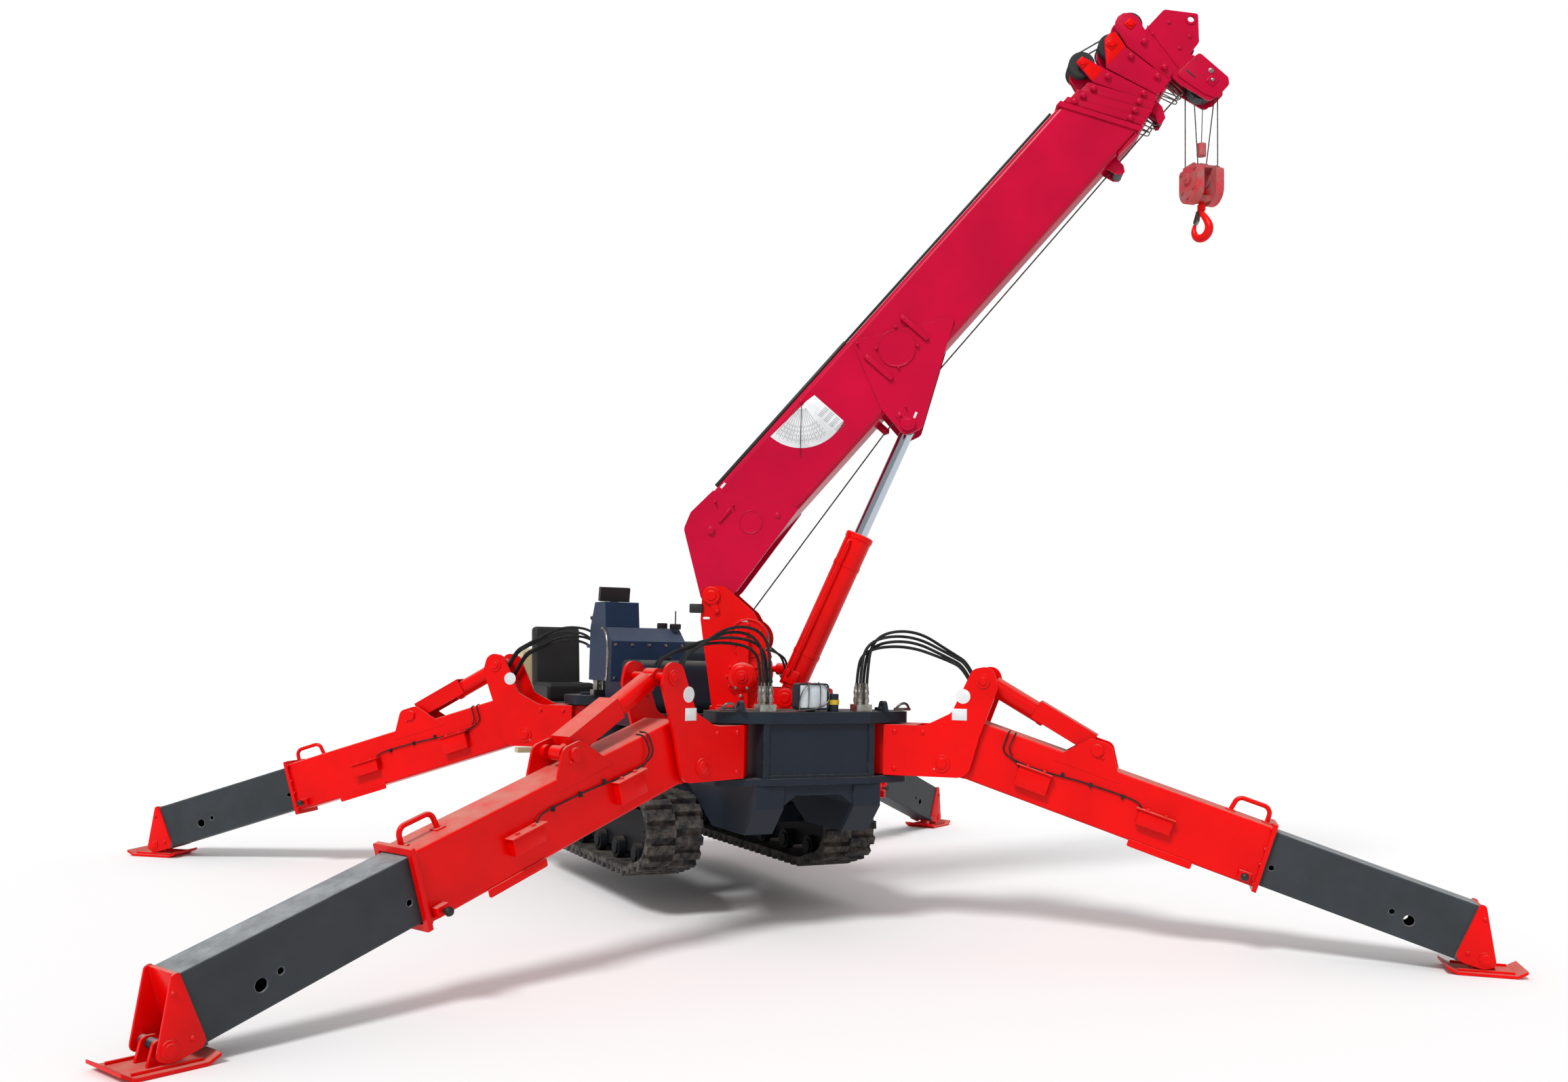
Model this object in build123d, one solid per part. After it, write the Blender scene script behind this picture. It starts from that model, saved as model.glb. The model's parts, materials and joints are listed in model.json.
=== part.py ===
from build123d import *

import math
import os

# A compact tracked crane on four spread outrigger legs, in millimetres, +Z up.
# The machine frame has x = 0 at the front face of the chassis, +X forward,
# +Y to the side where the boom points, z = 0 on the ground.

# Outrigger stance: each leg's swing pin and the way it points
FRONT_PIN_X = -180
FRONT_PIN_Y = 540
REAR_PIN_X = -2620
REAR_PIN_Y = 640
LEGS = {
    "front_right": {"pin": (FRONT_PIN_X, FRONT_PIN_Y), "azimuth": 48.3},
    "front_left": {"pin": (FRONT_PIN_X, -FRONT_PIN_Y), "azimuth": -65.6},
    "rear_right": {"pin": (REAR_PIN_X, REAR_PIN_Y), "azimuth": 121.6},
    "rear_left": {"pin": (REAR_PIN_X, -REAR_PIN_Y), "azimuth": -127.4},
}
SWING_PIN_RADIUS = 44
PIN_GAP = 1

# Leg, measured from the swing pin outwards
LEG_SLOPE = 18
TILT_X = 420
TILT_Z = 1065
TILT_PIN_RADIUS = 36
KNUCKLE_HALF_WIDTH = 170
KNUCKLE_PLATE = 20
KNUCKLE_BOTTOM = 980
KNUCKLE_TOP = 1297
KNUCKLE_HUB_RADIUS = 118
CYLINDER_TOP_X = 676
CYLINDER_TOP_Z = 1585
CYLINDER_PIN_RADIUS = 27
OUTER_LEG_START = 105
OUTER_LEG_END = 1985
OUTER_LEG_LOW = -45
OUTER_LEG_HEIGHT = 373
OUTER_LEG_WIDTH = 250
OUTER_LEG_WALL = 12
SLIDE_GAP = 6
INNER_LEG_START = 1400
INNER_LEG_END = 3150
INNER_LEG_WALL = 10
CYLINDER_LOW_ALONG = 873
CYLINDER_LOW_UP = 405
FOOT_PIN_ALONG = 3260
FOOT_PIN_UP = 34
FOOT_PIN_RADIUS = 22
PAD_LENGTH = 420
PAD_WIDTH = 300
PAD_PLATE = 16
PAD_TURN_UP = 55

# Leg cylinder
LEG_BARREL_RADIUS = 62
LEG_BARREL_LENGTH = 430
LEG_ROD_RADIUS = 30
LEG_COVER_HALF_WIDTH = 74
LEG_COVER_TOP = 76
LEG_COVER_SHEET = 5
LEG_COVER_LENGTH = 400
EYE_HALF_WIDTH = 45

# Crane: slewing axis, boom direction and lift
SLEW_X = -800
BOOM_AZIMUTH = 59
BOOM_ELEVATION = 49.2
FOOT_R = -350
FOOT_Z = 2100
FOOT_PIN_CRANE_RADIUS = 38
COLUMN_HALF_WIDTH = 205
COLUMN_PLATE = 24
DRUM_R = -101
DRUM_Z = 1825
DRUM_FLANGE_RADIUS = 124
DRUM_CORE_RADIUS = 78
DRUM_GUARD_RADIUS = 134
COLUMN_NECK_R = 5
GEAR_R = -127
GEAR_Z = 1571
GEAR_RADIUS = 96
GEAR_DEPTH = 96
GEAR_ROUNDING = 44
GEAR_FLANGE_RADIUS = 116
GEAR_FLANGE = 24
MOTOR_WIDTH = 76
MOTOR_DEPTH = 62
MOTOR_EYE_R = -132
MOTOR_EYE_Z = 1856
MOTOR_EYE_RADIUS = 36
SLEW_RING_RADIUS = 380
SLEW_RING_LOW = 1325
SLEW_RING_HEIGHT = 44
SLEW_GAP = 6
LUFF_LOW_R = 150
LUFF_LOW_Z = 1440
LUFF_TOP_ALONG = 1716
LUFF_TOP_UP = -215
LUFF_BARREL_RADIUS = 90
LUFF_BARREL_LENGTH = 1188
LUFF_ROD_RADIUS = 45
LUFF_EYE_RADIUS = 50
LUFF_EYE_HALF_WIDTH = 60
LUFF_PIN_RADIUS = 32

# Boom sections, nested about one centre line
BOOM_CENTRE_UP = 215
BASE_HEIGHT = 510
BASE_WIDTH = 330
BASE_WALL = 10
SECTION_WALL = 8
STEP_HEIGHT = 33
STEP_WIDTH = 30
BOOM_CORNER = 40
COLLAR_LENGTH = 40
COLLAR_PROUD = 12
FOOT_PLATE_TOP_X = 525
FOOT_PLATE_LOW_X = 821
# name, x of the collar's front edge on top and below, ear sheave (x, z) or None
SECTIONS = (
    ("boom_2", 4079, 4291, None),
    ("boom_3", 4156, 4370, None),
    ("boom_4", 4216, 4427, (4308, 520)),
    ("boom_5", 4560, 4560, (4530, 474)),
    ("boom_6", 4690, 4640, (4712, 505)),
)
SECTION_START = 620
SECTION_START_STEP = 70
HEAD_TUBE_START = 1040
HEAD_TUBE_END = 4712
HEAD_EYE = (5040, 205)
HEAD_EYE_RADIUS = 22
HEAD_PLATE_PROUD = 12
TELESCOPE_STROKE = 2280
EAR_SHEAVE_RADIUS = 78
EAR_SHEAVE_WIDTH = 22
EAR_PLATE = 12
EAR_FOOT_DEPTH = 60
EAR_FOOT_LENGTH = 150
HEAD_SHEAVE = (4761, -150)
HEAD_SHEAVE_RADIUS = 105
HEAD_SHEAVE_WIDTH = 26

# Hook tackle, below the head sheave pin
WEIGHT_DROP = 430
WEIGHT_RADIUS = 31
WEIGHT_LENGTH = 84
BLOCK_DROP = 640
BLOCK_TURN = -70
BLOCK_HALF_WIDTH = 104
BRIDGE_HALF_LENGTH = 60
BRIDGE_THICKNESS = 18
HOUSING_HALF_LENGTH = 108
HOUSING_INNER_Y = 44
HOUSING_BOSS_RADIUS = 44
HOUSING_TOP = 72
HOUSING_BOTTOM = -168
ROPE_SLOT_WIDTH = 30
ROPE_SLOT_DEPTH = 60
CROSSHEAD_TOP = -110
CROSSHEAD_BOTTOM = -150
HOOK_BEND_DROP = 335
HOOK_TURN = -50
HOOK_BEND_RADIUS = 62
HOOK_BOTTOM_RADIUS = 29
HOOK_TIP_RADIUS = 12
HOOK_NECK_TOP = 128
SHANK_RADIUS = 18
SHANK_TOP = 270
SHANK_NUT_RADIUS = 34
SHANK_NUT_HEIGHT = 36
SHANK_COLLAR_RADIUS = 27
SHANK_COLLAR_HEIGHT = 36
# x and z of the hook's centre line from the bend's centre, from the neck round to the tip
HOOK_LINE = (
    (0, HOOK_NECK_TOP),
    (16, 92),
    (48, 44),
    (62, 0),
    (44, -44),
    (0, -HOOK_BEND_RADIUS),
    (-44, -44),
    (-62, 0),
    (-56, 34),
)
# place along the hook's line and the bar's radius there
HOOK_BARS = (
    (0, SHANK_RADIUS),
    (0.25, 24),
    (0.5, HOOK_BOTTOM_RADIUS),
    (0.75, 25),
    (1, HOOK_TIP_RADIUS),
)

# Tracks
TRACK_INNER_Y = 455
TRACK_OUTER_Y = 835
IDLER_X = -970
SPROCKET_X = -3220
WHEEL_Z = 550
BELT_RADIUS = 215
BELT_THICKNESS = 30
LUG_HEIGHT = 35
LUG_COUNT = 60
LUG_LENGTH = 46
TRACK_BOTTOM = 240
ROLLER_FRONT_X = -1160
ROLLER_REAR_X = -3030
ROLLER_RADIUS = 72
ROLLER_COUNT = 6
ROLLER_REACH = 126
CARRIER_RADIUS = 46
SPROCKET_TEETH = 17
TRACK_FRAME_WIDTH = 116
TRACK_FRAME_INNER_Y = (TRACK_INNER_Y + TRACK_OUTER_Y - TRACK_FRAME_WIDTH) / 2

# Chassis
FRONT_FACE_HALF_WIDTH = 388
FRAME_LOW = 930
FRAME_PLATE_LOW = 972
FRAME_PLATE_HIGH = 1305
FRAME_TOP = 1376
WING_RADIUS = 150
FRONT_BOX_BACK = -405
NOSE_STEP_Z = 790
NOSE_LOW = 620
NOSE_BACK_LOW_X = -640
NOSE_BACK_X = -1130
NOSE_INNER_Y = 245
NOSE_OUTER_Y = 435
ARCH_TOP = 866
ARCH_SPRING = 800
REAR_BOX_HALF_WIDTH = 480
REAR_BOX_FRONT = -2320
REAR_BOX_BACK = -3000
BEAM_LOW = 900
AXLE_LOW = 520
AXLE_HIGH = 640
DECK_BACK = -3560
DECK_TOP = 1300
TANK_X = -1500
TANK_LENGTH = 430
TANK_HEIGHT = 360
TANK_BASE = 1300
TANK_LOW_Y = -690
TANK_HIGH_Y = -130
CONSOLE_BACK = -2330
CONSOLE_FRONT = -1850
CONSOLE_LOW_Y = -720
CONSOLE_HIGH_Y = -150
CONSOLE_LOW = 1500
CONSOLE_PANEL_TOP = 1790
CONSOLE_TOP = 1890
RAISED_TOP = 2075
LEVER_SHELF = 1760
LEVER_COUNT = 6
LEVER_PITCH = 34
LEVER_LENGTH = 200
LEVER_BOOT = 14
MONITOR_X = -2180
MONITOR_WIDTH = 230
MONITOR_HEIGHT = 104
REAR_LOCKER_BACK = -3860
REAR_LOCKER_FRONT = -3745
REAR_LOCKER_LEFT = -820
REAR_LOCKER_RIGHT = -360
REAR_LOCKER_LOW = 1300
REAR_LOCKER_TOP = 1715
SEAT_Y = -560
SEAT_WIDTH = 400
SEAT_FRONT = -3220
SEAT_BACK = -3640
SEAT_HEIGHT = 140
SEAT_BACK_DEPTH = 90
SEAT_BACK_HEIGHT = 500
STEP_BACK = -3760
STEP_DEPTH = 100
STEP_LOW = 858
HOOD_BACK = -3380
HOOD_FRONT = -2350
HOOD_INNER_Y = -280
HOOD_OUTER_Y = 700
HOOD_LOW = 1380
HOOD_TOP = 1800
LOUVRE_COUNT = 7
LOUVRE_PITCH = 34
LOUVRE_HEIGHT = 16
LOUVRE_DEPTH = 12
LAMP_BACK = -85
LAMP_DEPTH = 74
LAMP_LOW_Y = -158
LAMP_HIGH_Y = 62
LAMP_LOW_Z = 1386
LAMP_HIGH_Z = 1552
BEACON_Y = 110
COUPLING_BLOCK_HEIGHT = 45
# x, y and foot of each leg's coupling block
COUPLING_BLOCKS = (
    (-60, -355, 1376),
    (-60, 320, 1376),
    (-2440, -600, 1376),
    (-2180, 520, 1300),
)
EYE_X = -40
EYE_Z = FRAME_TOP + 38
EYE_LEFT_Y = -530
EYE_RIGHT_Y = 470
EYE_RADIUS = 15
EYE_HEIGHT = 68
EYE_THICKNESS = 26
BEAM_HIGH = 1180


def upright(sketch, y_low, y_high):
    """A flat outline, drawn with x forward and y up, made solid from y_low to y_high across the machine."""
    solid = extrude(sketch, amount=y_high - y_low)
    return Pos(0, y_high, 0) * Rot(90, 0, 0) * solid


def polygon(points, radius=0):
    """A closed outline with its corners rounded by one radius, or by one for each corner."""
    if radius:
        return make_face(FilletPolyline(*points, radius=radius, close=True))
    return make_face(Polyline(*points, close=True))


def across(x, z, radius, y_low, y_high):
    """A round bar that runs across the machine."""
    return Pos(x, (y_low + y_high) / 2, z) * Rot(90, 0, 0) * Cylinder(radius, y_high - y_low)


def block(x_low, x_high, y_low, y_high, z_low, z_high):
    size = (x_high - x_low, y_high - y_low, z_high - z_low)
    centre = ((x_low + x_high) / 2, (y_low + y_high) / 2, (z_low + z_high) / 2)
    return Pos(*centre) * Box(*size)


def tube(x_low, x_high, width, height, wall, z_centre, corner):
    """A rectangular tube along x with rounded corners."""
    outside = RectangleRounded(width, height, corner)
    inside = RectangleRounded(width - 2 * wall, height - 2 * wall, max(corner - wall, 1))
    section = Plane.YZ.offset(x_low) * Pos(0, z_centre) * (outside - inside)
    return extrude(section, amount=x_high - x_low)


def leg_place(name):
    leg = LEGS[name]
    return Pos(*leg["pin"], 0) * Rot(0, 0, leg["azimuth"])


LEG_LINE = Pos(TILT_X, 0, TILT_Z) * Rot(0, LEG_SLOPE, 0)


def leg_point(along, up):
    """Where a point of the leg's own line lies, from the swing pin."""
    slope = math.radians(LEG_SLOPE)
    x = TILT_X + along * math.cos(slope) + up * math.sin(slope)
    z = TILT_Z - along * math.sin(slope) + up * math.cos(slope)
    return x, z


CYLINDER_LOW_X, CYLINDER_LOW_Z = leg_point(CYLINDER_LOW_ALONG, CYLINDER_LOW_UP)
LEG_CYLINDER_LENGTH = math.hypot(
    CYLINDER_LOW_X - CYLINDER_TOP_X, CYLINDER_TOP_Z - CYLINDER_LOW_Z
)
LEG_CYLINDER_SLOPE = math.degrees(
    math.atan2(CYLINDER_TOP_Z - CYLINDER_LOW_Z, CYLINDER_LOW_X - CYLINDER_TOP_X)
)
LEG_CYLINDER_LINE = Pos(CYLINDER_TOP_X, 0, CYLINDER_TOP_Z) * Rot(0, LEG_CYLINDER_SLOPE, 0)


def knuckle():
    """The swinging bracket: two swept side plates, a pin hub and the webs between them."""
    rear = TILT_X - 370
    outline = polygon(
        [
            (rear, KNUCKLE_BOTTOM),
            (TILT_X + 165, KNUCKLE_BOTTOM),
            (TILT_X + 235, TILT_Z + 170),
            (CYLINDER_TOP_X + 95, CYLINDER_TOP_Z - 40),
            (CYLINDER_TOP_X + 60, CYLINDER_TOP_Z + 100),
            (CYLINDER_TOP_X - 65, CYLINDER_TOP_Z + 75),
            (TILT_X + 60, KNUCKLE_TOP + 85),
            (TILT_X - 110, KNUCKLE_TOP),
            (rear, KNUCKLE_TOP),
        ],
        [4, 95, 60, 60, 70, 60, 60, 120, 4],
    )
    side = upright(outline, KNUCKLE_HALF_WIDTH - KNUCKLE_PLATE, KNUCKLE_HALF_WIDTH)
    other = upright(outline, -KNUCKLE_HALF_WIDTH, KNUCKLE_PLATE - KNUCKLE_HALF_WIDTH)
    height = KNUCKLE_TOP - KNUCKLE_BOTTOM
    middle = (KNUCKLE_TOP + KNUCKLE_BOTTOM) / 2
    hub = Pos(0, 0, middle) * Cylinder(KNUCKLE_HUB_RADIUS, height)
    inner = KNUCKLE_HALF_WIDTH - KNUCKLE_PLATE
    web = block(0, rear + 200, -KNUCKLE_HUB_RADIUS, KNUCKLE_HUB_RADIUS, KNUCKLE_BOTTOM, KNUCKLE_TOP)
    webs = block(rear, rear + 200, -inner, inner, KNUCKLE_BOTTOM, KNUCKLE_TOP)
    body = side + other + hub + web + webs
    body -= Pos(0, 0, middle) * Cylinder(SWING_PIN_RADIUS + PIN_GAP, height + 2)
    reach = KNUCKLE_HALF_WIDTH + 12
    for x, z, radius in (
        (TILT_X, TILT_Z, TILT_PIN_RADIUS),
        (CYLINDER_TOP_X, CYLINDER_TOP_Z, CYLINDER_PIN_RADIUS),
    ):
        body += across(x, z, radius, -reach, reach)
        for y_low, y_high in ((inner, reach - 4), (4 - reach, -inner)):
            body += across(x, z, radius + 18, y_low, y_high)
    return body


def outer_leg():
    """The box beam with its pinned root, end flange, cylinder clevis and carrying handle."""
    middle = OUTER_LEG_LOW + OUTER_LEG_HEIGHT / 2
    top = OUTER_LEG_LOW + OUTER_LEG_HEIGHT
    box = tube(
        OUTER_LEG_START, OUTER_LEG_END, OUTER_LEG_WIDTH, OUTER_LEG_HEIGHT, OUTER_LEG_WALL, middle, 18
    )
    half = OUTER_LEG_WIDTH / 2
    inside = half - OUTER_LEG_WALL
    root_radius = TILT_PIN_RADIUS + 30
    root = polygon(
        [
            (-root_radius, -root_radius),
            (OUTER_LEG_START + 60, OUTER_LEG_LOW),
            (OUTER_LEG_START + 60, top - 60),
            (OUTER_LEG_START - 10, top - 60),
            (-root_radius, root_radius),
        ],
        [root_radius - 2, 10, 10, 40, root_radius - 2],
    )
    box += upright(root, -half, half)
    flange = tube(
        OUTER_LEG_END - 22, OUTER_LEG_END + 4, OUTER_LEG_WIDTH + 50, OUTER_LEG_HEIGHT + 50,
        25 + OUTER_LEG_WALL - 2, middle, 12,
    )
    box += flange
    clevis = polygon(
        [
            (CYLINDER_LOW_ALONG - 250, top - 70),
            (CYLINDER_LOW_ALONG + 190, top - 70),
            (CYLINDER_LOW_ALONG + 70, CYLINDER_LOW_UP + 60),
            (CYLINDER_LOW_ALONG - 60, CYLINDER_LOW_UP + 60),
        ],
        [10, 10, 55, 55],
    )
    for low, high in ((half - 14, half + 2), (-half - 2, 14 - half)):
        box += upright(clevis, low, high)
    for low, high in ((half - 40, half + 10), (-half - 10, 40 - half)):
        box += across(CYLINDER_LOW_ALONG, CYLINDER_LOW_UP, CYLINDER_PIN_RADIUS + 12, low, high)
    box -= across(0, 0, TILT_PIN_RADIUS + PIN_GAP, -half - 1, half + 1)
    inner = inside - 1
    box -= block(
        OUTER_LEG_START + 80, OUTER_LEG_START + 700, -inner, inner, OUTER_LEG_LOW + OUTER_LEG_WALL,
        top - OUTER_LEG_WALL,
    )
    grip = FilletPolyline(
        (OUTER_LEG_END - 270, 0, top - 6),
        (OUTER_LEG_END - 250, 0, top + 95),
        (OUTER_LEG_END - 50, 0, top + 95),
        (OUTER_LEG_END - 50, 0, top - 6),
        radius=45,
    )
    section = Plane(origin=grip @ 0, z_dir=grip % 0) * Circle(14)
    box += sweep(section, path=grip)
    return LEG_LINE * box


def inner_leg():
    """The sliding box beam with its shoe cheeks and foot pin."""
    gap = OUTER_LEG_WALL + SLIDE_GAP
    width = OUTER_LEG_WIDTH - 2 * gap
    height = OUTER_LEG_HEIGHT - 2 * gap
    middle = OUTER_LEG_LOW + OUTER_LEG_HEIGHT / 2
    box = tube(INNER_LEG_START, INNER_LEG_END, width, height, INNER_LEG_WALL, middle, 12)
    low = middle - height / 2
    high = middle + height / 2
    for along, up, radius in ((2030, 97, 16), (2720, 103, 16), (2820, 88, 30)):
        box -= across(along, up, radius, -width / 2 - 1, width / 2 + 1)
    half = width / 2
    cheek = polygon(
        [
            (INNER_LEG_END - 46, low - 2),
            (FOOT_PIN_ALONG + 2, FOOT_PIN_UP - 58),
            (FOOT_PIN_ALONG + 62, FOOT_PIN_UP - 20),
            (INNER_LEG_END + 22, high + 8),
            (INNER_LEG_END - 6, high + 8),
        ],
        [4, 48, 48, 4, 4],
    )
    for y_low, y_high in ((half, half + 12), (-half - 12, -half)):
        box += upright(cheek, y_low, y_high)
    box += block(INNER_LEG_END - 4, INNER_LEG_END + 8, -half, half, low, high)
    box += across(FOOT_PIN_ALONG, FOOT_PIN_UP, FOOT_PIN_RADIUS, -half - 20, half + 20)
    return LEG_LINE * box


def pad():
    """The foot plate with turned-up ends, hung on the foot pin by two lugs."""
    x, z = leg_point(FOOT_PIN_ALONG, FOOT_PIN_UP)
    flat = PAD_LENGTH / 2 - PAD_TURN_UP
    rise = PAD_TURN_UP * math.tan(math.radians(28))
    profile = polygon(
        [
            (x - flat, 0),
            (x + flat, 0),
            (x + flat + PAD_TURN_UP, rise),
            (x + flat + PAD_TURN_UP, rise + PAD_PLATE),
            (x + flat, PAD_PLATE),
            (x - flat, PAD_PLATE),
            (x - flat - PAD_TURN_UP, rise + PAD_PLATE),
            (x - flat - PAD_TURN_UP, rise),
        ]
    )
    plate = upright(profile, -PAD_WIDTH / 2, PAD_WIDTH / 2)
    lug = polygon(
        [(x - 60, PAD_PLATE - 2), (x + 60, PAD_PLATE - 2), (x + 36, z + 30), (x - 36, z + 30)],
        [2, 2, 28, 28],
    )
    for y in (-50, 50):
        plate += upright(lug, y - 9, y + 9)
    return plate - across(x, z, FOOT_PIN_RADIUS + PIN_GAP, -PAD_WIDTH, PAD_WIDTH)


def leg_barrel():
    """The leg cylinder's barrel with its eye on the knuckle."""
    start = 60
    barrel = Pos((start + LEG_BARREL_LENGTH) / 2, 0, 0) * Rot(0, 90, 0) * Cylinder(
        LEG_BARREL_RADIUS, LEG_BARREL_LENGTH - start
    )
    eye = across(0, 0, CYLINDER_PIN_RADIUS + 24, -EYE_HALF_WIDTH, EYE_HALF_WIDTH)
    neck = block(0, start + 4, -EYE_HALF_WIDTH + 5, EYE_HALF_WIDTH - 5, -40, 40)
    body = barrel + eye + neck
    body -= across(0, 0, CYLINDER_PIN_RADIUS + PIN_GAP, -EYE_HALF_WIDTH - 1, EYE_HALF_WIDTH + 1)
    bore_start = LEG_BARREL_LENGTH - 330
    bore = Pos((bore_start + LEG_BARREL_LENGTH + 2) / 2, 0, 0) * Rot(0, 90, 0) * Cylinder(
        LEG_ROD_RADIUS + 2, LEG_BARREL_LENGTH + 2 - bore_start
    )
    return LEG_CYLINDER_LINE * (body - bore)


def leg_rod():
    """The leg cylinder's rod and eye, with the folded sheet cover that shields it."""
    start = LEG_BARREL_LENGTH - 60
    end = LEG_CYLINDER_LENGTH
    rod = Pos((start + end - 20) / 2, 0, 0) * Rot(0, 90, 0) * Cylinder(LEG_ROD_RADIUS, end - 20 - start)
    eye = across(end, 0, 40, -EYE_HALF_WIDTH, EYE_HALF_WIDTH)
    cover_end = end - 48
    cover_start = cover_end - LEG_COVER_LENGTH
    half = LEG_COVER_HALF_WIDTH
    outside = block(cover_start, cover_end, -half, half, -45, LEG_COVER_TOP)
    thin = LEG_COVER_SHEET
    inside = block(
        cover_start - 1, cover_end - thin, -half + thin, half - thin, -46, LEG_COVER_TOP - thin
    )
    return LEG_CYLINDER_LINE * (rod + eye + (outside - inside))


# Crane frames
SLEW = Pos(SLEW_X, 0, 0) * Rot(0, 0, BOOM_AZIMUTH)
BOOM = SLEW * Pos(FOOT_R, 0, FOOT_Z) * Rot(0, -BOOM_ELEVATION, 0)


def boom_to_slew(along, up):
    """A point of the boom's side view, seen from the slewing axis."""
    lift = math.radians(BOOM_ELEVATION)
    r = FOOT_R + along * math.cos(lift) - up * math.sin(lift)
    z = FOOT_Z + along * math.sin(lift) + up * math.cos(lift)
    return r, z


LUFF_TOP_R, LUFF_TOP_Z = boom_to_slew(LUFF_TOP_ALONG, LUFF_TOP_UP)
LUFF_LENGTH = math.hypot(LUFF_TOP_R - LUFF_LOW_R, LUFF_TOP_Z - LUFF_LOW_Z)
LUFF_ANGLE = math.degrees(math.atan2(LUFF_TOP_Z - LUFF_LOW_Z, LUFF_TOP_R - LUFF_LOW_R))
LUFF = SLEW * Pos(LUFF_LOW_R, 0, LUFF_LOW_Z) * Rot(0, -LUFF_ANGLE, 0)


def crane_column():
    """The slewing column: a round base, two side plates that carry the winch and the boom foot."""
    base = Pos(0, 0, SLEW_RING_LOW + SLEW_RING_HEIGHT / 2) * Cylinder(SLEW_RING_RADIUS - 10, SLEW_RING_HEIGHT)
    floor = SLEW_RING_LOW + SLEW_RING_HEIGHT
    bracket_top = LUFF_LOW_Z + LUFF_PIN_RADIUS + 28
    outline = polygon(
        [
            (-330, floor - 4),
            (290, floor - 4),
            (LUFF_LOW_R + 50, bracket_top),
            (COLUMN_NECK_R, bracket_top),
            (DRUM_R + 90, DRUM_Z + 70),
            (DRUM_R + 30, DRUM_Z + 175),
            (FOOT_R + 85, FOOT_Z + 66),
            (FOOT_R - 60, FOOT_Z + 66),
            (FOOT_R - 70, FOOT_Z - 160),
        ],
        [6, 30, 30, 20, 30, 60, 55, 55, 80],
    )
    outline += Pos(DRUM_R, DRUM_Z) * Circle(DRUM_GUARD_RADIUS)
    body = base
    inner = COLUMN_HALF_WIDTH - COLUMN_PLATE
    for low, high in ((inner, COLUMN_HALF_WIDTH), (-COLUMN_HALF_WIDTH, -inner)):
        body += upright(outline, low, high)
    body += block(-310, -286, -inner, inner, floor - 4, FOOT_Z - 330)
    reach = COLUMN_HALF_WIDTH + 14
    for r, z, radius in (
        (FOOT_R, FOOT_Z, FOOT_PIN_CRANE_RADIUS),
        (LUFF_LOW_R, LUFF_LOW_Z, LUFF_PIN_RADIUS),
    ):
        body += across(r, z, radius, -reach, reach)
        for low, high in ((inner, reach - 4), (4 - reach, -inner)):
            body += across(r, z, radius + 20, low, high)
    return SLEW * body


def slew_motor():
    """The bolted gear housing and its upright motor on the column's outer face."""
    face = -COLUMN_HALF_WIDTH
    floor = SLEW_RING_LOW + SLEW_RING_HEIGHT
    dome = across(GEAR_R, GEAR_Z, GEAR_RADIUS, face - GEAR_DEPTH, face)
    rim = dome.edges().filter_by(GeomType.CIRCLE).sort_by(Axis.Y)[0]
    body = fillet(rim, GEAR_ROUNDING)
    body += across(GEAR_R, GEAR_Z, GEAR_FLANGE_RADIUS, face - GEAR_FLANGE, face)
    half = MOTOR_WIDTH / 2
    body += block(GEAR_R - half, GEAR_R + half, face - MOTOR_DEPTH, face, GEAR_Z, MOTOR_EYE_Z - 30)
    body += across(MOTOR_EYE_R, MOTOR_EYE_Z, MOTOR_EYE_RADIUS, face - MOTOR_DEPTH + 12, face)
    body += block(GEAR_R - half, GEAR_R + half, face - MOTOR_DEPTH, face, floor, GEAR_Z)
    return SLEW * body


def winch_drum():
    """The winch drum between the column's plates."""
    half = COLUMN_HALF_WIDTH - COLUMN_PLATE - 6
    core = across(DRUM_R, DRUM_Z, DRUM_CORE_RADIUS, -half, half)
    for low, high in ((half - 14, half), (-half, 14 - half)):
        core += across(DRUM_R, DRUM_Z, DRUM_FLANGE_RADIUS, low, high)
    return SLEW * core


def slanted_end(x_top, x_bottom, z_low, z_high, width):
    """A wedge that cuts off all past the line from (x_top, z_high) to (x_bottom, z_low)."""
    far = max(x_top, x_bottom) + 2000
    face = polygon([(x_top, z_high), (far, z_high), (far, z_low), (x_bottom, z_low)])
    return upright(face, -width, width)


def boom_tube(start, x_top, x_bottom, width, height, wall):
    """One boom section's tube, its end cut on the collar's slant."""
    end = max(x_top, x_bottom)
    body = tube(start, end + 40, width, height, wall, BOOM_CENTRE_UP, BOOM_CORNER)
    z_low = BOOM_CENTRE_UP - height / 2
    z_high = BOOM_CENTRE_UP + height / 2
    return body - slanted_end(
        x_top - 200 * (x_bottom - x_top) / height,
        x_bottom + 200 * (x_bottom - x_top) / height,
        z_low - 200, z_high + 200, width,
    )


def collar(x_top, x_bottom, width, height, wall):
    """The stiffening frame round a section's end."""
    slope = (x_bottom - x_top) / height
    z_low = BOOM_CENTRE_UP - height / 2 - COLLAR_PROUD
    z_high = BOOM_CENTRE_UP + height / 2 + COLLAR_PROUD
    reach = slope * COLLAR_PROUD
    face = polygon(
        [
            (x_top - reach, z_high),
            (x_bottom + reach, z_low),
            (x_bottom + reach - COLLAR_LENGTH, z_low),
            (x_top - reach - COLLAR_LENGTH, z_high),
        ]
    )
    ring = upright(face, -width / 2 - COLLAR_PROUD, width / 2 + COLLAR_PROUD)
    inside = RectangleRounded(width - 2 * wall, height - 2 * wall, BOOM_CORNER - wall)
    hole = extrude(Plane.YZ.offset(3000) * Pos(0, BOOM_CENTRE_UP) * inside, amount=3000)
    return ring - hole


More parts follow.
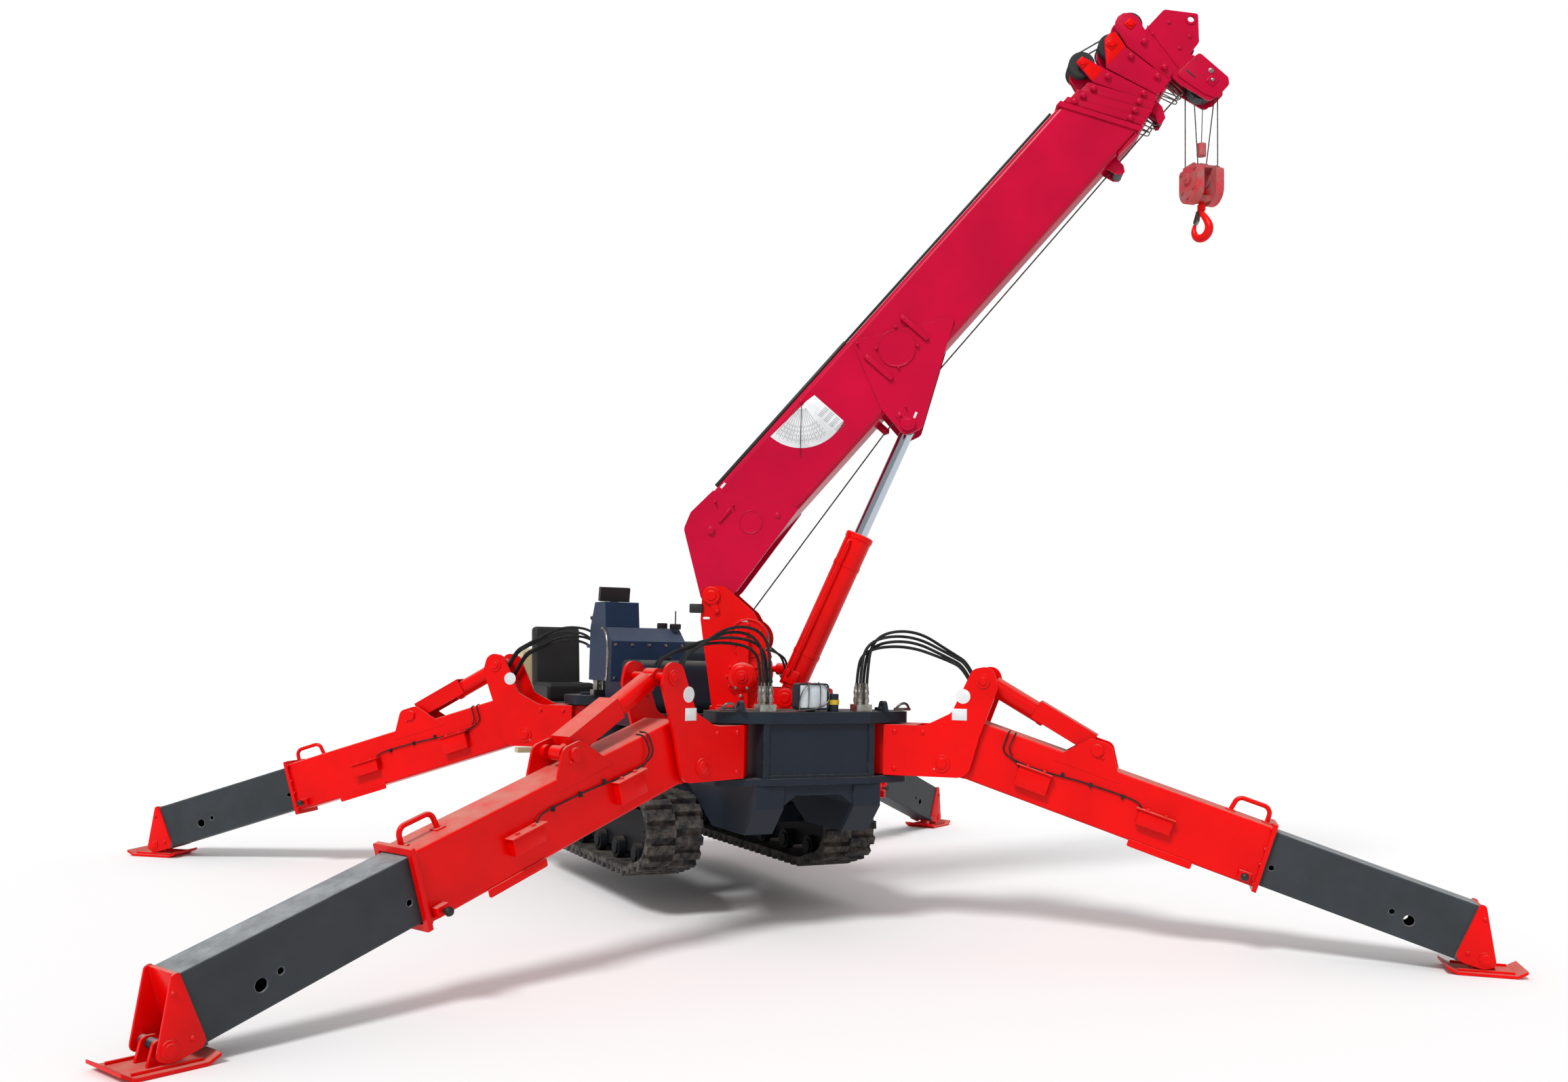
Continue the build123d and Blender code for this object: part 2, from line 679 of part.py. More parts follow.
def boom_base():
    """The boom's outer section with its foot plates and the luffing cylinder's bracket."""
    x_top, x_bottom = 4025, 4235
    body = boom_tube(330, x_top, x_bottom, BASE_WIDTH, BASE_HEIGHT, BASE_WALL)
    body += collar(x_top, x_bottom, BASE_WIDTH, BASE_HEIGHT, BASE_WALL)
    half = BASE_WIDTH / 2
    rear = polygon(
        [
            (FOOT_PLATE_LOW_X, BOOM_CENTRE_UP - BASE_HEIGHT / 2),
            (FOOT_PLATE_TOP_X, BOOM_CENTRE_UP + BASE_HEIGHT / 2),
            (318, 485),
            (205, 445),
            (-66, 40),
            (-30, -85),
            (140, -100),
        ],
        [10, 10, 60, 60, 55, 55, 60],
    )
    for low, high in ((half - 12, half + 8), (-half - 8, 12 - half)):
        body += upright(rear, low, high)
    body += block(318, 342, -half, half, BOOM_CENTRE_UP - BASE_HEIGHT / 2, BOOM_CENTRE_UP + BASE_HEIGHT / 2)
    body += across(0, 0, FOOT_PIN_CRANE_RADIUS + 24, -half - 8, half + 8)
    body -= across(0, 0, FOOT_PIN_CRANE_RADIUS + PIN_GAP, -half - 40, half + 40)
    bracket = polygon(
        [
            (1888, 450),
            (2469, 40),
            (LUFF_TOP_ALONG + 40, LUFF_TOP_UP - 80),
            (LUFF_TOP_ALONG - 75, LUFF_TOP_UP - 30),
            (1673, -12),
        ],
        [30, 20, 50, 50, 30],
    )
    for low, high in ((half - 2, half + 14), (-half - 14, 2 - half)):
        body += upright(bracket, low, high)
    for low, high in ((half - 30, half + 26), (-half - 26, 30 - half)):
        body += across(LUFF_TOP_ALONG, LUFF_TOP_UP, LUFF_PIN_RADIUS + 16, low, high)
    return BOOM * body


def section_size(number):
    """Width and height of boom section 2, 3 and so on."""
    steps = number - 1
    return BASE_WIDTH - STEP_WIDTH * steps, BASE_HEIGHT - STEP_HEIGHT * steps


HEAD_EYE_LENGTH = section_size(7)[0] + 2 * HEAD_PLATE_PROUD


def boom_section(number, x_top, x_bottom, ear):
    """A sliding section with its collar, and the ears and sheave that the upper ones carry."""
    width, height = section_size(number)
    start = SECTION_START + SECTION_START_STEP * (number - 2)
    body = boom_tube(start, x_top, x_bottom, width, height, SECTION_WALL)
    body += collar(x_top, x_bottom, width, height, SECTION_WALL)
    if ear:
        x, z = ear
        top = BOOM_CENTRE_UP + height / 2
        foot = top - EAR_FOOT_DEPTH
        face = polygon(
            [
                (x - EAR_FOOT_LENGTH, foot),
                (x_top + 4, foot),
                (x + 70, z + 16),
                (x + 44, z + 60),
                (x - 30, z + 74),
                (x - 78, z + 36),
            ],
            [6, 6, 20, 16, 16, 20],
        )
        half = EAR_SHEAVE_WIDTH / 2 + 4
        for low, high in ((half, half + EAR_PLATE), (-half - EAR_PLATE, -half)):
            body += upright(face, low, high)
        cavity_top = top - SECTION_WALL
        reach = 2 * EAR_FOOT_LENGTH
        side = half + EAR_PLATE
        body -= block(x - reach, x + reach, -side, side, foot - 28, cavity_top)
        body += across(x, z, EAR_SHEAVE_RADIUS - 22, -half - 2, half + 2)
        body += across(x, z, EAR_SHEAVE_RADIUS, -EAR_SHEAVE_WIDTH / 2, EAR_SHEAVE_WIDTH / 2)
    return BOOM * body


def boom_head():
    """The last section with its pointed head plates and the box that carries the head sheaves."""
    width, height = section_size(7)
    body = tube(HEAD_TUBE_START, HEAD_TUBE_END, width, height, SECTION_WALL, BOOM_CENTRE_UP, BOOM_CORNER)
    half = width / 2
    plates = polygon(
        [
            (4674, 53),
            (4756, 391),
            (4978, 386),
            (5100, 194),
            (4953, 59),
        ],
        [6, 20, 30, 20, 30],
    )
    lower = polygon(
        [(4655, 90), (4842, 90), (4883, -40), (4829, -265), (4690, -268), (4655, -40)],
        [6, 6, 30, 50, 40, 10],
    )
    plates += lower
    plates -= Pos(*HEAD_EYE) * Circle(HEAD_EYE_RADIUS)
    for low, high in ((half - 4, half + HEAD_PLATE_PROUD), (-half - HEAD_PLATE_PROUD, 4 - half)):
        body += upright(plates, low, high)
    body += block(HEAD_TUBE_END - 12, HEAD_TUBE_END + 10, -half + 2, half - 2, 90, 340)
    x, z = HEAD_SHEAVE
    body += across(x, z, 24, -half - 18, half + 18)
    for y in (-34, 0, 34):
        body += across(x, z, HEAD_SHEAVE_RADIUS - 10, y - HEAD_SHEAVE_WIDTH / 2, y + HEAD_SHEAVE_WIDTH / 2)
    return BOOM * body


def luff_barrel():
    """The luffing cylinder's barrel."""
    start = 70
    barrel = Pos((start + LUFF_BARREL_LENGTH) / 2, 0, 0) * Rot(0, 90, 0) * Cylinder(
        LUFF_BARREL_RADIUS, LUFF_BARREL_LENGTH - start
    )
    half = LUFF_EYE_HALF_WIDTH + 60
    eye = across(0, 0, LUFF_PIN_RADIUS + 30, -half, half)
    neck = block(0, start + 4, -60, 60, -58, 58)
    body = barrel + eye + neck
    body -= across(0, 0, LUFF_PIN_RADIUS + PIN_GAP, -half - 1, half + 1)
    bore_start = 150
    bore = Pos((bore_start + LUFF_BARREL_LENGTH + 2) / 2, 0, 0) * Rot(0, 90, 0) * Cylinder(
        LUFF_ROD_RADIUS + 2, LUFF_BARREL_LENGTH + 2 - bore_start
    )
    return LUFF * (body - bore)


def luff_rod():
    """The luffing cylinder's chromed rod and its eye."""
    start = LUFF_BARREL_LENGTH - 150
    end = LUFF_LENGTH
    rod = Pos((start + end - 20) / 2, 0, 0) * Rot(0, 90, 0) * Cylinder(LUFF_ROD_RADIUS, end - 20 - start)
    eye = across(end, 0, LUFF_EYE_RADIUS, -LUFF_EYE_HALF_WIDTH, LUFF_EYE_HALF_WIDTH)
    return LUFF * (rod + eye)


HEAD_SHEAVE_R, HEAD_SHEAVE_Z = boom_to_slew(*HEAD_SHEAVE)
TACKLE = SLEW * Pos(HEAD_SHEAVE_R, 0, HEAD_SHEAVE_Z)


def overwind_weight():
    """The weight that hangs round a fall of rope above the hook block."""
    return TACKLE * Pos(0, 0, -WEIGHT_DROP) * Cylinder(WEIGHT_RADIUS, WEIGHT_LENGTH)


def hook_block():
    """The hook block: two round-bottomed sheave housings under a bridge, and a crosshead between."""
    half = HOUSING_HALF_LENGTH
    side = polygon(
        [(-half, HOUSING_BOTTOM), (half, HOUSING_BOTTOM), (half, HOUSING_TOP), (-half, HOUSING_TOP)],
        [half - 4, half - 4, 26, 26],
    )
    bridge = BRIDGE_HALF_LENGTH
    top = HOUSING_TOP + BRIDGE_THICKNESS
    body = block(-bridge, bridge, -BLOCK_HALF_WIDTH, BLOCK_HALF_WIDTH, HOUSING_TOP - 2, top)
    for way in (-1, 1):
        low, high = sorted((way * HOUSING_INNER_Y, way * BLOCK_HALF_WIDTH))
        body += upright(side, low, high)
        body += across(0, 0, HOUSING_BOSS_RADIUS, low - 6, high + 6)
        middle = (low + high) / 2
        y_low = middle - ROPE_SLOT_WIDTH / 2
        y_high = middle + ROPE_SLOT_WIDTH / 2
        slot_low = HOUSING_TOP - ROPE_SLOT_DEPTH
        for x_low, x_high in ((-half + 12, -bridge - 2), (bridge + 2, half - 12)):
            body -= block(x_low, x_high, y_low, y_high, slot_low, HOUSING_TOP + 1)
    crosshead = BRIDGE_HALF_LENGTH - 18
    body += block(-crosshead, crosshead, -HOUSING_INNER_Y, HOUSING_INNER_Y, CROSSHEAD_BOTTOM, CROSSHEAD_TOP)
    crosshead_middle = (CROSSHEAD_BOTTOM + CROSSHEAD_TOP) / 2
    body -= Pos(0, 0, crosshead_middle) * Cylinder(SHANK_RADIUS + 2, 60)
    return TACKLE * Pos(0, 0, -BLOCK_DROP) * Rot(0, 0, BLOCK_TURN) * body


def hook():
    """The swivelling hook: a bar that swells towards the bottom of its bend, and its shank."""
    line = Spline(*[(x, 0, z) for x, z in HOOK_LINE], tangents=((0, 0, -1), (0.25, 0, 1)))
    bars = []
    for place, radius in HOOK_BARS:
        bars.append(Plane(origin=line @ place, z_dir=line % place) * Circle(radius))
    body = sweep(sections=bars, path=line, multisection=True)
    tip = line @ 1
    body += Pos(tip.X, 0, tip.Z) * Sphere(HOOK_TIP_RADIUS)
    shank_low = HOOK_NECK_TOP - 20
    body += Pos(0, 0, (shank_low + SHANK_TOP) / 2) * Cylinder(SHANK_RADIUS, SHANK_TOP - shank_low)
    collar_middle = HOOK_NECK_TOP + SHANK_COLLAR_HEIGHT / 2
    body += Pos(0, 0, collar_middle) * Cylinder(SHANK_COLLAR_RADIUS, SHANK_COLLAR_HEIGHT)
    body += Pos(0, 0, SHANK_TOP - SHANK_NUT_HEIGHT / 2) * Cylinder(SHANK_NUT_RADIUS, SHANK_NUT_HEIGHT)
    return TACKLE * Pos(0, 0, -BLOCK_DROP - HOOK_BEND_DROP) * Rot(0, 0, HOOK_TURN) * body


def belt_outline(grow):
    """The closed path round idler, sprocket and end rollers, moved outwards by grow."""
    low = TRACK_BOTTOM + LUG_HEIGHT
    small = ROLLER_RADIUS + BELT_THICKNESS + 3
    circles = []
    for x in (IDLER_X, SPROCKET_X):
        circles.append((x, WHEEL_Z, BELT_RADIUS + grow))
    for x in (ROLLER_FRONT_X, ROLLER_REAR_X):
        circles.append((x, low + small, small + grow))
    edges = [(Pos(x, z) * Circle(radius)).edge() for x, z, radius in circles]
    return make_hull(edges)


def lug_row(first):
    """The belt's outer face over one row, with its lugs, as one toothed outline."""
    outer = belt_outline(0).wire()
    length = outer.length
    points = []
    for n in range(LUG_COUNT):
        centre = (n + first) / LUG_COUNT
        half = LUG_LENGTH / 2 / length
        foot = half * 1.25
        for place, out in ((-foot, 0), (-half, LUG_HEIGHT), (half, LUG_HEIGHT), (foot, 0)):
            at = (centre + place) % 1.0
            here = outer.position_at(at)
            along = outer.tangent_at(at)
            points.append((here.X + out * along.Y, here.Y - out * along.X))
    return polygon(points)


def track(side):
    """One rubber track: a closed belt with two staggered rows of lugs."""
    middle = (TRACK_INNER_Y + TRACK_OUTER_Y) / 2
    inner = belt_outline(-BELT_THICKNESS)
    body = None
    for first, y_low, y_high in ((0.25, TRACK_INNER_Y, middle), (0.75, middle, TRACK_OUTER_Y)):
        row = upright(lug_row(first) - inner, y_low, y_high)
        body = row if body is None else body + row
    if side == "left":
        return mirror(body, about=Plane.XZ)
    return body


def undercarriage():
    """Both track frames with rollers, idlers and sprockets."""
    low = TRACK_BOTTOM + LUG_HEIGHT + BELT_THICKNESS
    y_mid = (TRACK_INNER_Y + TRACK_OUTER_Y) / 2
    frame = polygon(
        [
            (IDLER_X + 20, WHEEL_Z - 60),
            (IDLER_X + 20, WHEEL_Z + 60),
            (IDLER_X - 240, WHEEL_Z + 110),
            (SPROCKET_X + 240, WHEEL_Z + 110),
            (SPROCKET_X, WHEEL_Z + 60),
            (SPROCKET_X, WHEEL_Z - 60),
            (ROLLER_REAR_X + 40, low + ROLLER_RADIUS - 14),
            (ROLLER_FRONT_X - 40, low + ROLLER_RADIUS - 14),
        ],
        20,
    )
    half = TRACK_FRAME_WIDTH / 2
    body = upright(frame, y_mid - half, y_mid + half)
    for x in (IDLER_X - 420, SPROCKET_X + 420):
        body += across(x, WHEEL_Z + 118, CARRIER_RADIUS, y_mid - half, y_mid + half)
    step = (ROLLER_REAR_X - ROLLER_FRONT_X) / (ROLLER_COUNT - 1)
    z = low + ROLLER_RADIUS + 3
    for n in range(ROLLER_COUNT):
        x = ROLLER_FRONT_X + n * step
        body += across(x, z, ROLLER_RADIUS - 26, y_mid - ROLLER_REACH, y_mid + ROLLER_REACH)
        for side in (-1, 1):
            near, far = sorted((side * (half + 6), side * (ROLLER_REACH - 12)))
            body += across(x, z, ROLLER_RADIUS, y_mid + near, y_mid + far)
    rim = BELT_RADIUS - BELT_THICKNESS - 3
    body += across(IDLER_X, WHEEL_Z, rim, y_mid - 76, y_mid + 76)
    body += across(IDLER_X, WHEEL_Z, 58, y_mid - 110, y_mid + 110)
    teeth = []
    for n in range(SPROCKET_TEETH):
        for part, radius in ((0.0, rim - 34), (0.3, rim - 34), (0.45, rim), (0.85, rim)):
            turn = 2 * math.pi * (n + part) / SPROCKET_TEETH
            teeth.append((SPROCKET_X + radius * math.cos(turn), WHEEL_Z + radius * math.sin(turn)))
    body += upright(polygon(teeth), y_mid - 40, y_mid + 40)
    body += across(SPROCKET_X, WHEEL_Z, 120, y_mid - 70, y_mid + 70)
    body += across(SPROCKET_X, WHEEL_Z, 84, y_mid - 110, y_mid + 110)
    return Compound(children=[body, mirror(body, about=Plane.XZ)])


def chassis_frame():
    """The welded frame: pin boxes front and rear, beams, slewing pedestal and cross members."""
    body = block(FRONT_BOX_BACK, 0, -FRONT_FACE_HALF_WIDTH, FRONT_FACE_HALF_WIDTH, FRAME_LOW, FRAME_TOP - 4)
    body -= block(-12, 2, -350, 350, FRAME_PLATE_LOW + 20, FRAME_PLATE_HIGH)
    rear_half = REAR_BOX_HALF_WIDTH
    body += block(REAR_BOX_BACK, REAR_BOX_FRONT, -rear_half, rear_half, FRAME_LOW, FRAME_TOP - 4)
    inner = NOSE_INNER_Y + 2
    rise = ARCH_TOP - ARCH_SPRING
    arch = make_face(
        FilletPolyline(
            (-inner, FRAME_LOW + 2),
            (-inner, ARCH_SPRING),
            (-inner + rise * 1.4, ARCH_TOP),
            (inner - rise * 1.4, ARCH_TOP),
            (inner, ARCH_SPRING),
            (inner, FRAME_LOW + 2),
            radius=4,
            close=True,
        )
    )
    body += extrude(Plane.YZ.offset(FRONT_BOX_BACK) * arch, amount=-FRONT_BOX_BACK - 14)
    for x, y, x_front, x_back, inside in (
        (FRONT_PIN_X, FRONT_PIN_Y, 16, FRONT_BOX_BACK, FRONT_FACE_HALF_WIDTH),
        (REAR_PIN_X, REAR_PIN_Y, REAR_BOX_FRONT, REAR_BOX_BACK, rear_half),
    ):
        wing = polygon(
            [
                (x_front, -inside + 40),
                (x_front, inside - 40),
                (min(x_front, x + 130), y + WING_RADIUS - 20),
                (x - 90, y + WING_RADIUS),
                (x_back, inside),
                (x_back, -inside),
                (x - 90, -y - WING_RADIUS),
                (min(x_front, x + 130), 20 - y - WING_RADIUS),
            ],
            [10, 10, 60, 60, 10, 10, 60, 60],
        )
        body += Pos(0, 0, FRAME_PLATE_HIGH) * extrude(wing, amount=FRAME_TOP - FRAME_PLATE_HIGH)
        body += Pos(0, 0, FRAME_LOW) * extrude(wing, amount=FRAME_PLATE_LOW - FRAME_LOW)
        for side in (-1, 1):
            pin = Cylinder(SWING_PIN_RADIUS, FRAME_TOP - FRAME_LOW + 30)
            body += Pos(x, side * y, (FRAME_TOP + FRAME_LOW) / 2 + 5) * pin
    for side in (-1, 1):
        low = min(side * 240, side * 400)
        body += block(-2400, -380, low, low + 160, BEAM_LOW, BEAM_HIGH)
        nose = polygon(
            [
                (0, FRAME_LOW + 2),
                (0, NOSE_STEP_Z),
                (-150, NOSE_LOW),
                (NOSE_BACK_LOW_X, NOSE_LOW),
                (NOSE_BACK_X, BEAM_LOW - 6),
                (NOSE_BACK_X, FRAME_LOW + 2),
            ],
            8,
        )
        near, far = sorted((side * NOSE_INNER_Y, side * NOSE_OUTER_Y))
        body += upright(nose, near, far)
        for x in (IDLER_X - 500, SPROCKET_X + 500):
            near, far = sorted((side * 200, side * TRACK_FRAME_INNER_Y))
            body += block(x - 90, x + 90, near, far, AXLE_LOW, AXLE_HIGH)
            near, far = sorted((side * 240, side * 400))
            body += block(x - 90, x + 90, near, far, AXLE_LOW, FRAME_LOW + 10)
    pedestal_top = SLEW_RING_LOW - SLEW_GAP
    pedestal = Cylinder(SLEW_RING_RADIUS, pedestal_top - BEAM_LOW)
    body += Pos(SLEW_X, 0, (BEAM_LOW + pedestal_top) / 2) * pedestal
    return body


def body_shell():
    """The deck plates between the leg frames and the rear body with its drawer fronts."""
    body = block(REAR_BOX_FRONT + 20, -1230, -700, 700, 1200, 1300)
    body += block(DECK_BACK, REAR_BOX_BACK - 5, -600, 600, 860, 1300)
    for y_low, y_high in ((-560, -210), (-190, 190), (210, 560)):
        body -= block(DECK_BACK - 1, DECK_BACK + 10, y_low, y_high, 900, 1260)
        body += block(DECK_BACK + 2, DECK_BACK + 12, y_low + 8, y_high - 8, 908, 1252)
    return body


def engine_hood():
    """The engine's cover at the right rear, with louvres on its outer side and back."""
    outline = polygon(
        [
            (HOOD_BACK, HOOD_LOW),
            (HOOD_FRONT, HOOD_LOW),
            (HOOD_FRONT, HOOD_TOP - 100),
            (HOOD_FRONT - 80, HOOD_TOP),
            (HOOD_BACK, HOOD_TOP),
        ],
        40,
    )
    hood = upright(outline, HOOD_INNER_Y, HOOD_OUTER_Y)
    near = HOOD_INNER_Y + 30
    far = HOOD_OUTER_Y - 30
    hood -= block(HOOD_BACK + 40, HOOD_FRONT - 40, near, far, HOOD_LOW - 80, HOOD_TOP - 60)
    hood -= Pos(REAR_PIN_X, REAR_PIN_Y, FRAME_TOP) * Cylinder(SWING_PIN_RADIUS + 6, 60)
    for n in range(LOUVRE_COUNT):
        z = HOOD_LOW + 110 + n * LOUVRE_PITCH
        top = z + LOUVRE_HEIGHT
        floor = HOOD_OUTER_Y - LOUVRE_DEPTH
        hood -= block(HOOD_BACK + 140, HOOD_FRONT - 420, floor, HOOD_OUTER_Y + 1, z, top)
        floor = HOOD_BACK + LOUVRE_DEPTH
        hood -= block(HOOD_BACK - 1, floor, HOOD_INNER_Y + 180, HOOD_OUTER_Y - 180, z, top)
    return hood


def engine():
    """The engine and pump, one plain block."""
    near = HOOD_INNER_Y + 130
    far = HOOD_OUTER_Y - 140
    return block(HOOD_BACK + 180, HOOD_FRONT - 50, near, far, FRAME_TOP, HOOD_TOP - 100)


def fuel_tank():
    """The smooth tank between the operator's panel and the column."""
    profile = RectangleRounded(TANK_LENGTH, TANK_HEIGHT, 80)
    middle = Pos(TANK_X, TANK_BASE + TANK_HEIGHT / 2)
    return upright(middle * profile, TANK_LOW_Y, TANK_HIGH_Y)


def control_console():
    """The operator's control box: a bolted front panel, a sloped hood and a raised end."""
    outline = polygon(
        [
            (CONSOLE_BACK, CONSOLE_LOW),
            (CONSOLE_FRONT, CONSOLE_LOW),
            (CONSOLE_FRONT, CONSOLE_PANEL_TOP),
            (CONSOLE_FRONT - 130, CONSOLE_TOP),
            (CONSOLE_BACK, CONSOLE_TOP),
        ],
        6,
    )
    body = upright(outline, CONSOLE_LOW_Y, CONSOLE_HIGH_Y)
    raised = polygon(
        [
            (CONSOLE_BACK, CONSOLE_TOP - 2),
            (CONSOLE_FRONT - 135, CONSOLE_TOP - 2),
            (CONSOLE_FRONT - 165, RAISED_TOP),
            (CONSOLE_BACK + 90, RAISED_TOP),
        ],
        6,
    )
    body += upright(raised, CONSOLE_LOW_Y, CONSOLE_LOW_Y + 260)
    near = CONSOLE_LOW_Y + 110
    far = CONSOLE_HIGH_Y - 90
    body += block(CONSOLE_BACK + 60, CONSOLE_FRONT - 90, near, far, DECK_TOP, CONSOLE_LOW + 2)
    near = CONSOLE_LOW_Y + 10
    far = CONSOLE_LOW_Y + 270
    body += block(CONSOLE_BACK - 100, CONSOLE_BACK + 2, near, far, LEVER_SHELF - 24, LEVER_SHELF)
    return body


def operator_controls():
    """The row of hand levers and the load display above them."""
    parts = []
    for n in range(LEVER_COUNT):
        y = CONSOLE_LOW_Y + 45 + n * LEVER_PITCH
        stem = Pos(0, 0, LEVER_LENGTH / 2) * Cylinder(6, LEVER_LENGTH)
        knob = Pos(0, 0, LEVER_LENGTH) * Sphere(15)
        boot = Pos(0, 0, LEVER_BOOT / 2) * Cylinder(14, LEVER_BOOT)
        lever = boot + Pos(0, 0, LEVER_BOOT / 2) * Rot(0, -14, 0) * (stem + knob)
        parts.append(Pos(CONSOLE_BACK - 50, y, LEVER_SHELF) * lever)
    y = CONSOLE_LOW_Y + MONITOR_WIDTH / 2 + 12
    middle = RAISED_TOP + MONITOR_HEIGHT / 2 + 8
    screen = Pos(MONITOR_X, y, middle) * Rot(0, 8, 0) * Box(44, MONITOR_WIDTH, MONITOR_HEIGHT)
    stalk = block(MONITOR_X - 14, MONITOR_X + 14, y - 30, y + 30, RAISED_TOP, middle)
    parts.append(screen + stalk)
    return Compound(children=parts)


def rear_box():
    """The locker behind the operator's seat and the step bar under it."""
    side = polygon(
        [
            (REAR_LOCKER_BACK, REAR_LOCKER_LOW - 2),
            (REAR_LOCKER_FRONT, REAR_LOCKER_LOW - 2),
            (REAR_LOCKER_FRONT, REAR_LOCKER_TOP - 25),
            (REAR_LOCKER_FRONT - 45, REAR_LOCKER_TOP),
            (REAR_LOCKER_BACK, REAR_LOCKER_TOP),
        ],
        6,
    )
    box = upright(side, REAR_LOCKER_LEFT, REAR_LOCKER_RIGHT)
    shelf_left = -580
    right = REAR_LOCKER_RIGHT
    floor = REAR_LOCKER_LOW
    box += block(REAR_LOCKER_BACK, DECK_BACK, shelf_left, right, floor - 60, floor)
    left = REAR_LOCKER_LEFT - 40
    step = block(STEP_BACK, STEP_BACK + STEP_DEPTH, left, right, STEP_LOW, STEP_LOW + 40)
    for y in (shelf_left + 20, right - 40):
        step += block(STEP_BACK + STEP_DEPTH - 2, DECK_BACK, y - 20, y + 20, STEP_LOW + 10, STEP_LOW + 30)
    return Compound(children=[box, step])


def seat():
    """The operator's seat: cushion and back."""
    low = SEAT_Y - SEAT_WIDTH / 2
    cushion = block(SEAT_BACK, SEAT_FRONT, low, low + SEAT_WIDTH, DECK_TOP, DECK_TOP + SEAT_HEIGHT)
    middle = DECK_TOP + SEAT_HEIGHT + SEAT_BACK_HEIGHT / 2 - 40
    back = Pos(SEAT_BACK - 35, SEAT_Y, middle) * Rot(0, -8, 0)
    return cushion + back * Box(SEAT_BACK_DEPTH, SEAT_WIDTH, SEAT_BACK_HEIGHT)


def front_fittings():
    """Lifting eyes, work lamp and beacon on the front frame."""
    parts = []
    for y in (EYE_LEFT_Y, EYE_RIGHT_Y):
        top = FRAME_TOP + EYE_HEIGHT
        eye = polygon([(-90, FRAME_TOP), (10, FRAME_TOP), (-15, top), (-65, top)], [2, 2, 28, 28])
        eye -= Pos(EYE_X, EYE_Z) * Circle(EYE_RADIUS)
        parts.append(upright(eye, y - EYE_THICKNESS / 2, y + EYE_THICKNESS / 2))
    middle = (LAMP_LOW_Y + LAMP_HIGH_Y) / 2
    place = Plane.YZ.offset(LAMP_BACK) * Pos(middle, (LAMP_LOW_Z + LAMP_HIGH_Z) / 2)
    face = RectangleRounded(LAMP_HIGH_Y - LAMP_LOW_Y, LAMP_HIGH_Z - LAMP_LOW_Z, 26)
    lamp = extrude(place * face, amount=LAMP_DEPTH)
    lamp += block(LAMP_BACK + 22, LAMP_BACK + 48, middle - 26, middle + 26, FRAME_TOP, LAMP_LOW_Z + 8)
    parts.append(lamp)
    parts.append(Pos(-50, BEACON_Y, FRAME_TOP + 55) * Cylinder(36, 110))
    return Compound(children=parts)


def hose_couplings():
    """The blocks where each leg's four hoses plug into the frame, with their couplings."""
    parts = []
    for x, y, z in COUPLING_BLOCKS:
        body = block(x - 44, x + 44, y - 55, y + 55, z, z + COUPLING_BLOCK_HEIGHT)
        for dx in (-22, 22):
            for dy in (-24, 24):
                body += Pos(x + dx, y + dy, z + COUPLING_BLOCK_HEIGHT + 55) * Cylinder(14, 110)
        parts.append(body)
    return Compound(children=parts)


def hook_throat():
    """The bottom of the hook's bend inside, from the head sheave's pin."""
    return 0, 0, -BLOCK_DROP - HOOK_BEND_DROP - HOOK_BEND_RADIUS + HOOK_BOTTOM_RADIUS


def openings():
    """The spaces that the crane's use needs to stay open."""
    half = (HOOK_BEND_RADIUS - HOOK_BOTTOM_RADIUS) * 0.55
    turn = math.radians(BOOM_AZIMUTH)
    x = SLEW_X + HEAD_SHEAVE_R * math.cos(turn)
    y = HEAD_SHEAVE_R * math.sin(turn)
    z = HEAD_SHEAVE_Z - BLOCK_DROP - HOOK_BEND_DROP
    low = (x - half, y - half, z - half)
    high = (x + half, y + half, z + half)
    return [{"name": "hook_throat", "holds": "a sling or shackle", "low": low, "high": high}]


def model():
    """Every node of the crane, by name."""
    nodes = {
        "chassis_frame": chassis_frame(),
        "undercarriage": undercarriage(),
        "track_right": track("right"),
        "track_left": track("left"),
        "body_shell": body_shell(),
        "engine_hood": engine_hood(),
        "engine": engine(),
        "fuel_tank": fuel_tank(),
        "control_console": control_console(),
        "operator_controls": operator_controls(),
        "rear_box": rear_box(),
        "hose_couplings": hose_couplings(),
        "seat": seat(),
        "front_fittings": front_fittings(),
        "crane_column": crane_column(),
        "slew_motor": slew_motor(),
        "winch_drum": winch_drum(),
        "boom_base": boom_base(),
        "boom_7": boom_head(),
        "luff_barrel": luff_barrel(),
        "luff_rod": luff_rod(),
        "overwind_weight": overwind_weight(),
        "hook_block": hook_block(),
        "hook": hook(),
    }
    for number, (name, x_top, x_bottom, ear) in enumerate(SECTIONS, 2):
        nodes[name] = boom_section(number, x_top, x_bottom, ear)
    leg_parts = {
        "knuckle": knuckle(),
        "outer_leg": outer_leg(),
        "inner_leg": inner_leg(),
        "pad": pad(),
        "leg_barrel": leg_barrel(),
        "leg_rod": leg_rod(),
    }
    for name in LEGS:
        for part, shape in leg_parts.items():
            nodes[f"{part}_{name}"] = leg_place(name) * shape
    return nodes


NODES = model()
BOXES = [node.bounding_box() for node in NODES.values()]
X_LOW = min(box.min.X for box in BOXES)
X_HIGH = max(box.max.X for box in BOXES)
Y_LOW = min(box.min.Y for box in BOXES)
Y_HIGH = max(box.max.Y for box in BOXES)
Z_LOW = min(box.min.Z for box in BOXES)
# The origin is the middle of the crane's outline on the ground
SHIFT = (-(X_LOW + X_HIGH) / 2, -(Y_LOW + Y_HIGH) / 2, -Z_LOW)

os.makedirs("parts", exist_ok=True)
for name, shape in NODES.items():
    export_step(Pos(*SHIFT) * shape, f"parts/{name}.step")
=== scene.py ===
import json
import math

import bpy
from bpy.props import FloatProperty, FloatVectorProperty, PointerProperty
from mathutils import Matrix, Vector


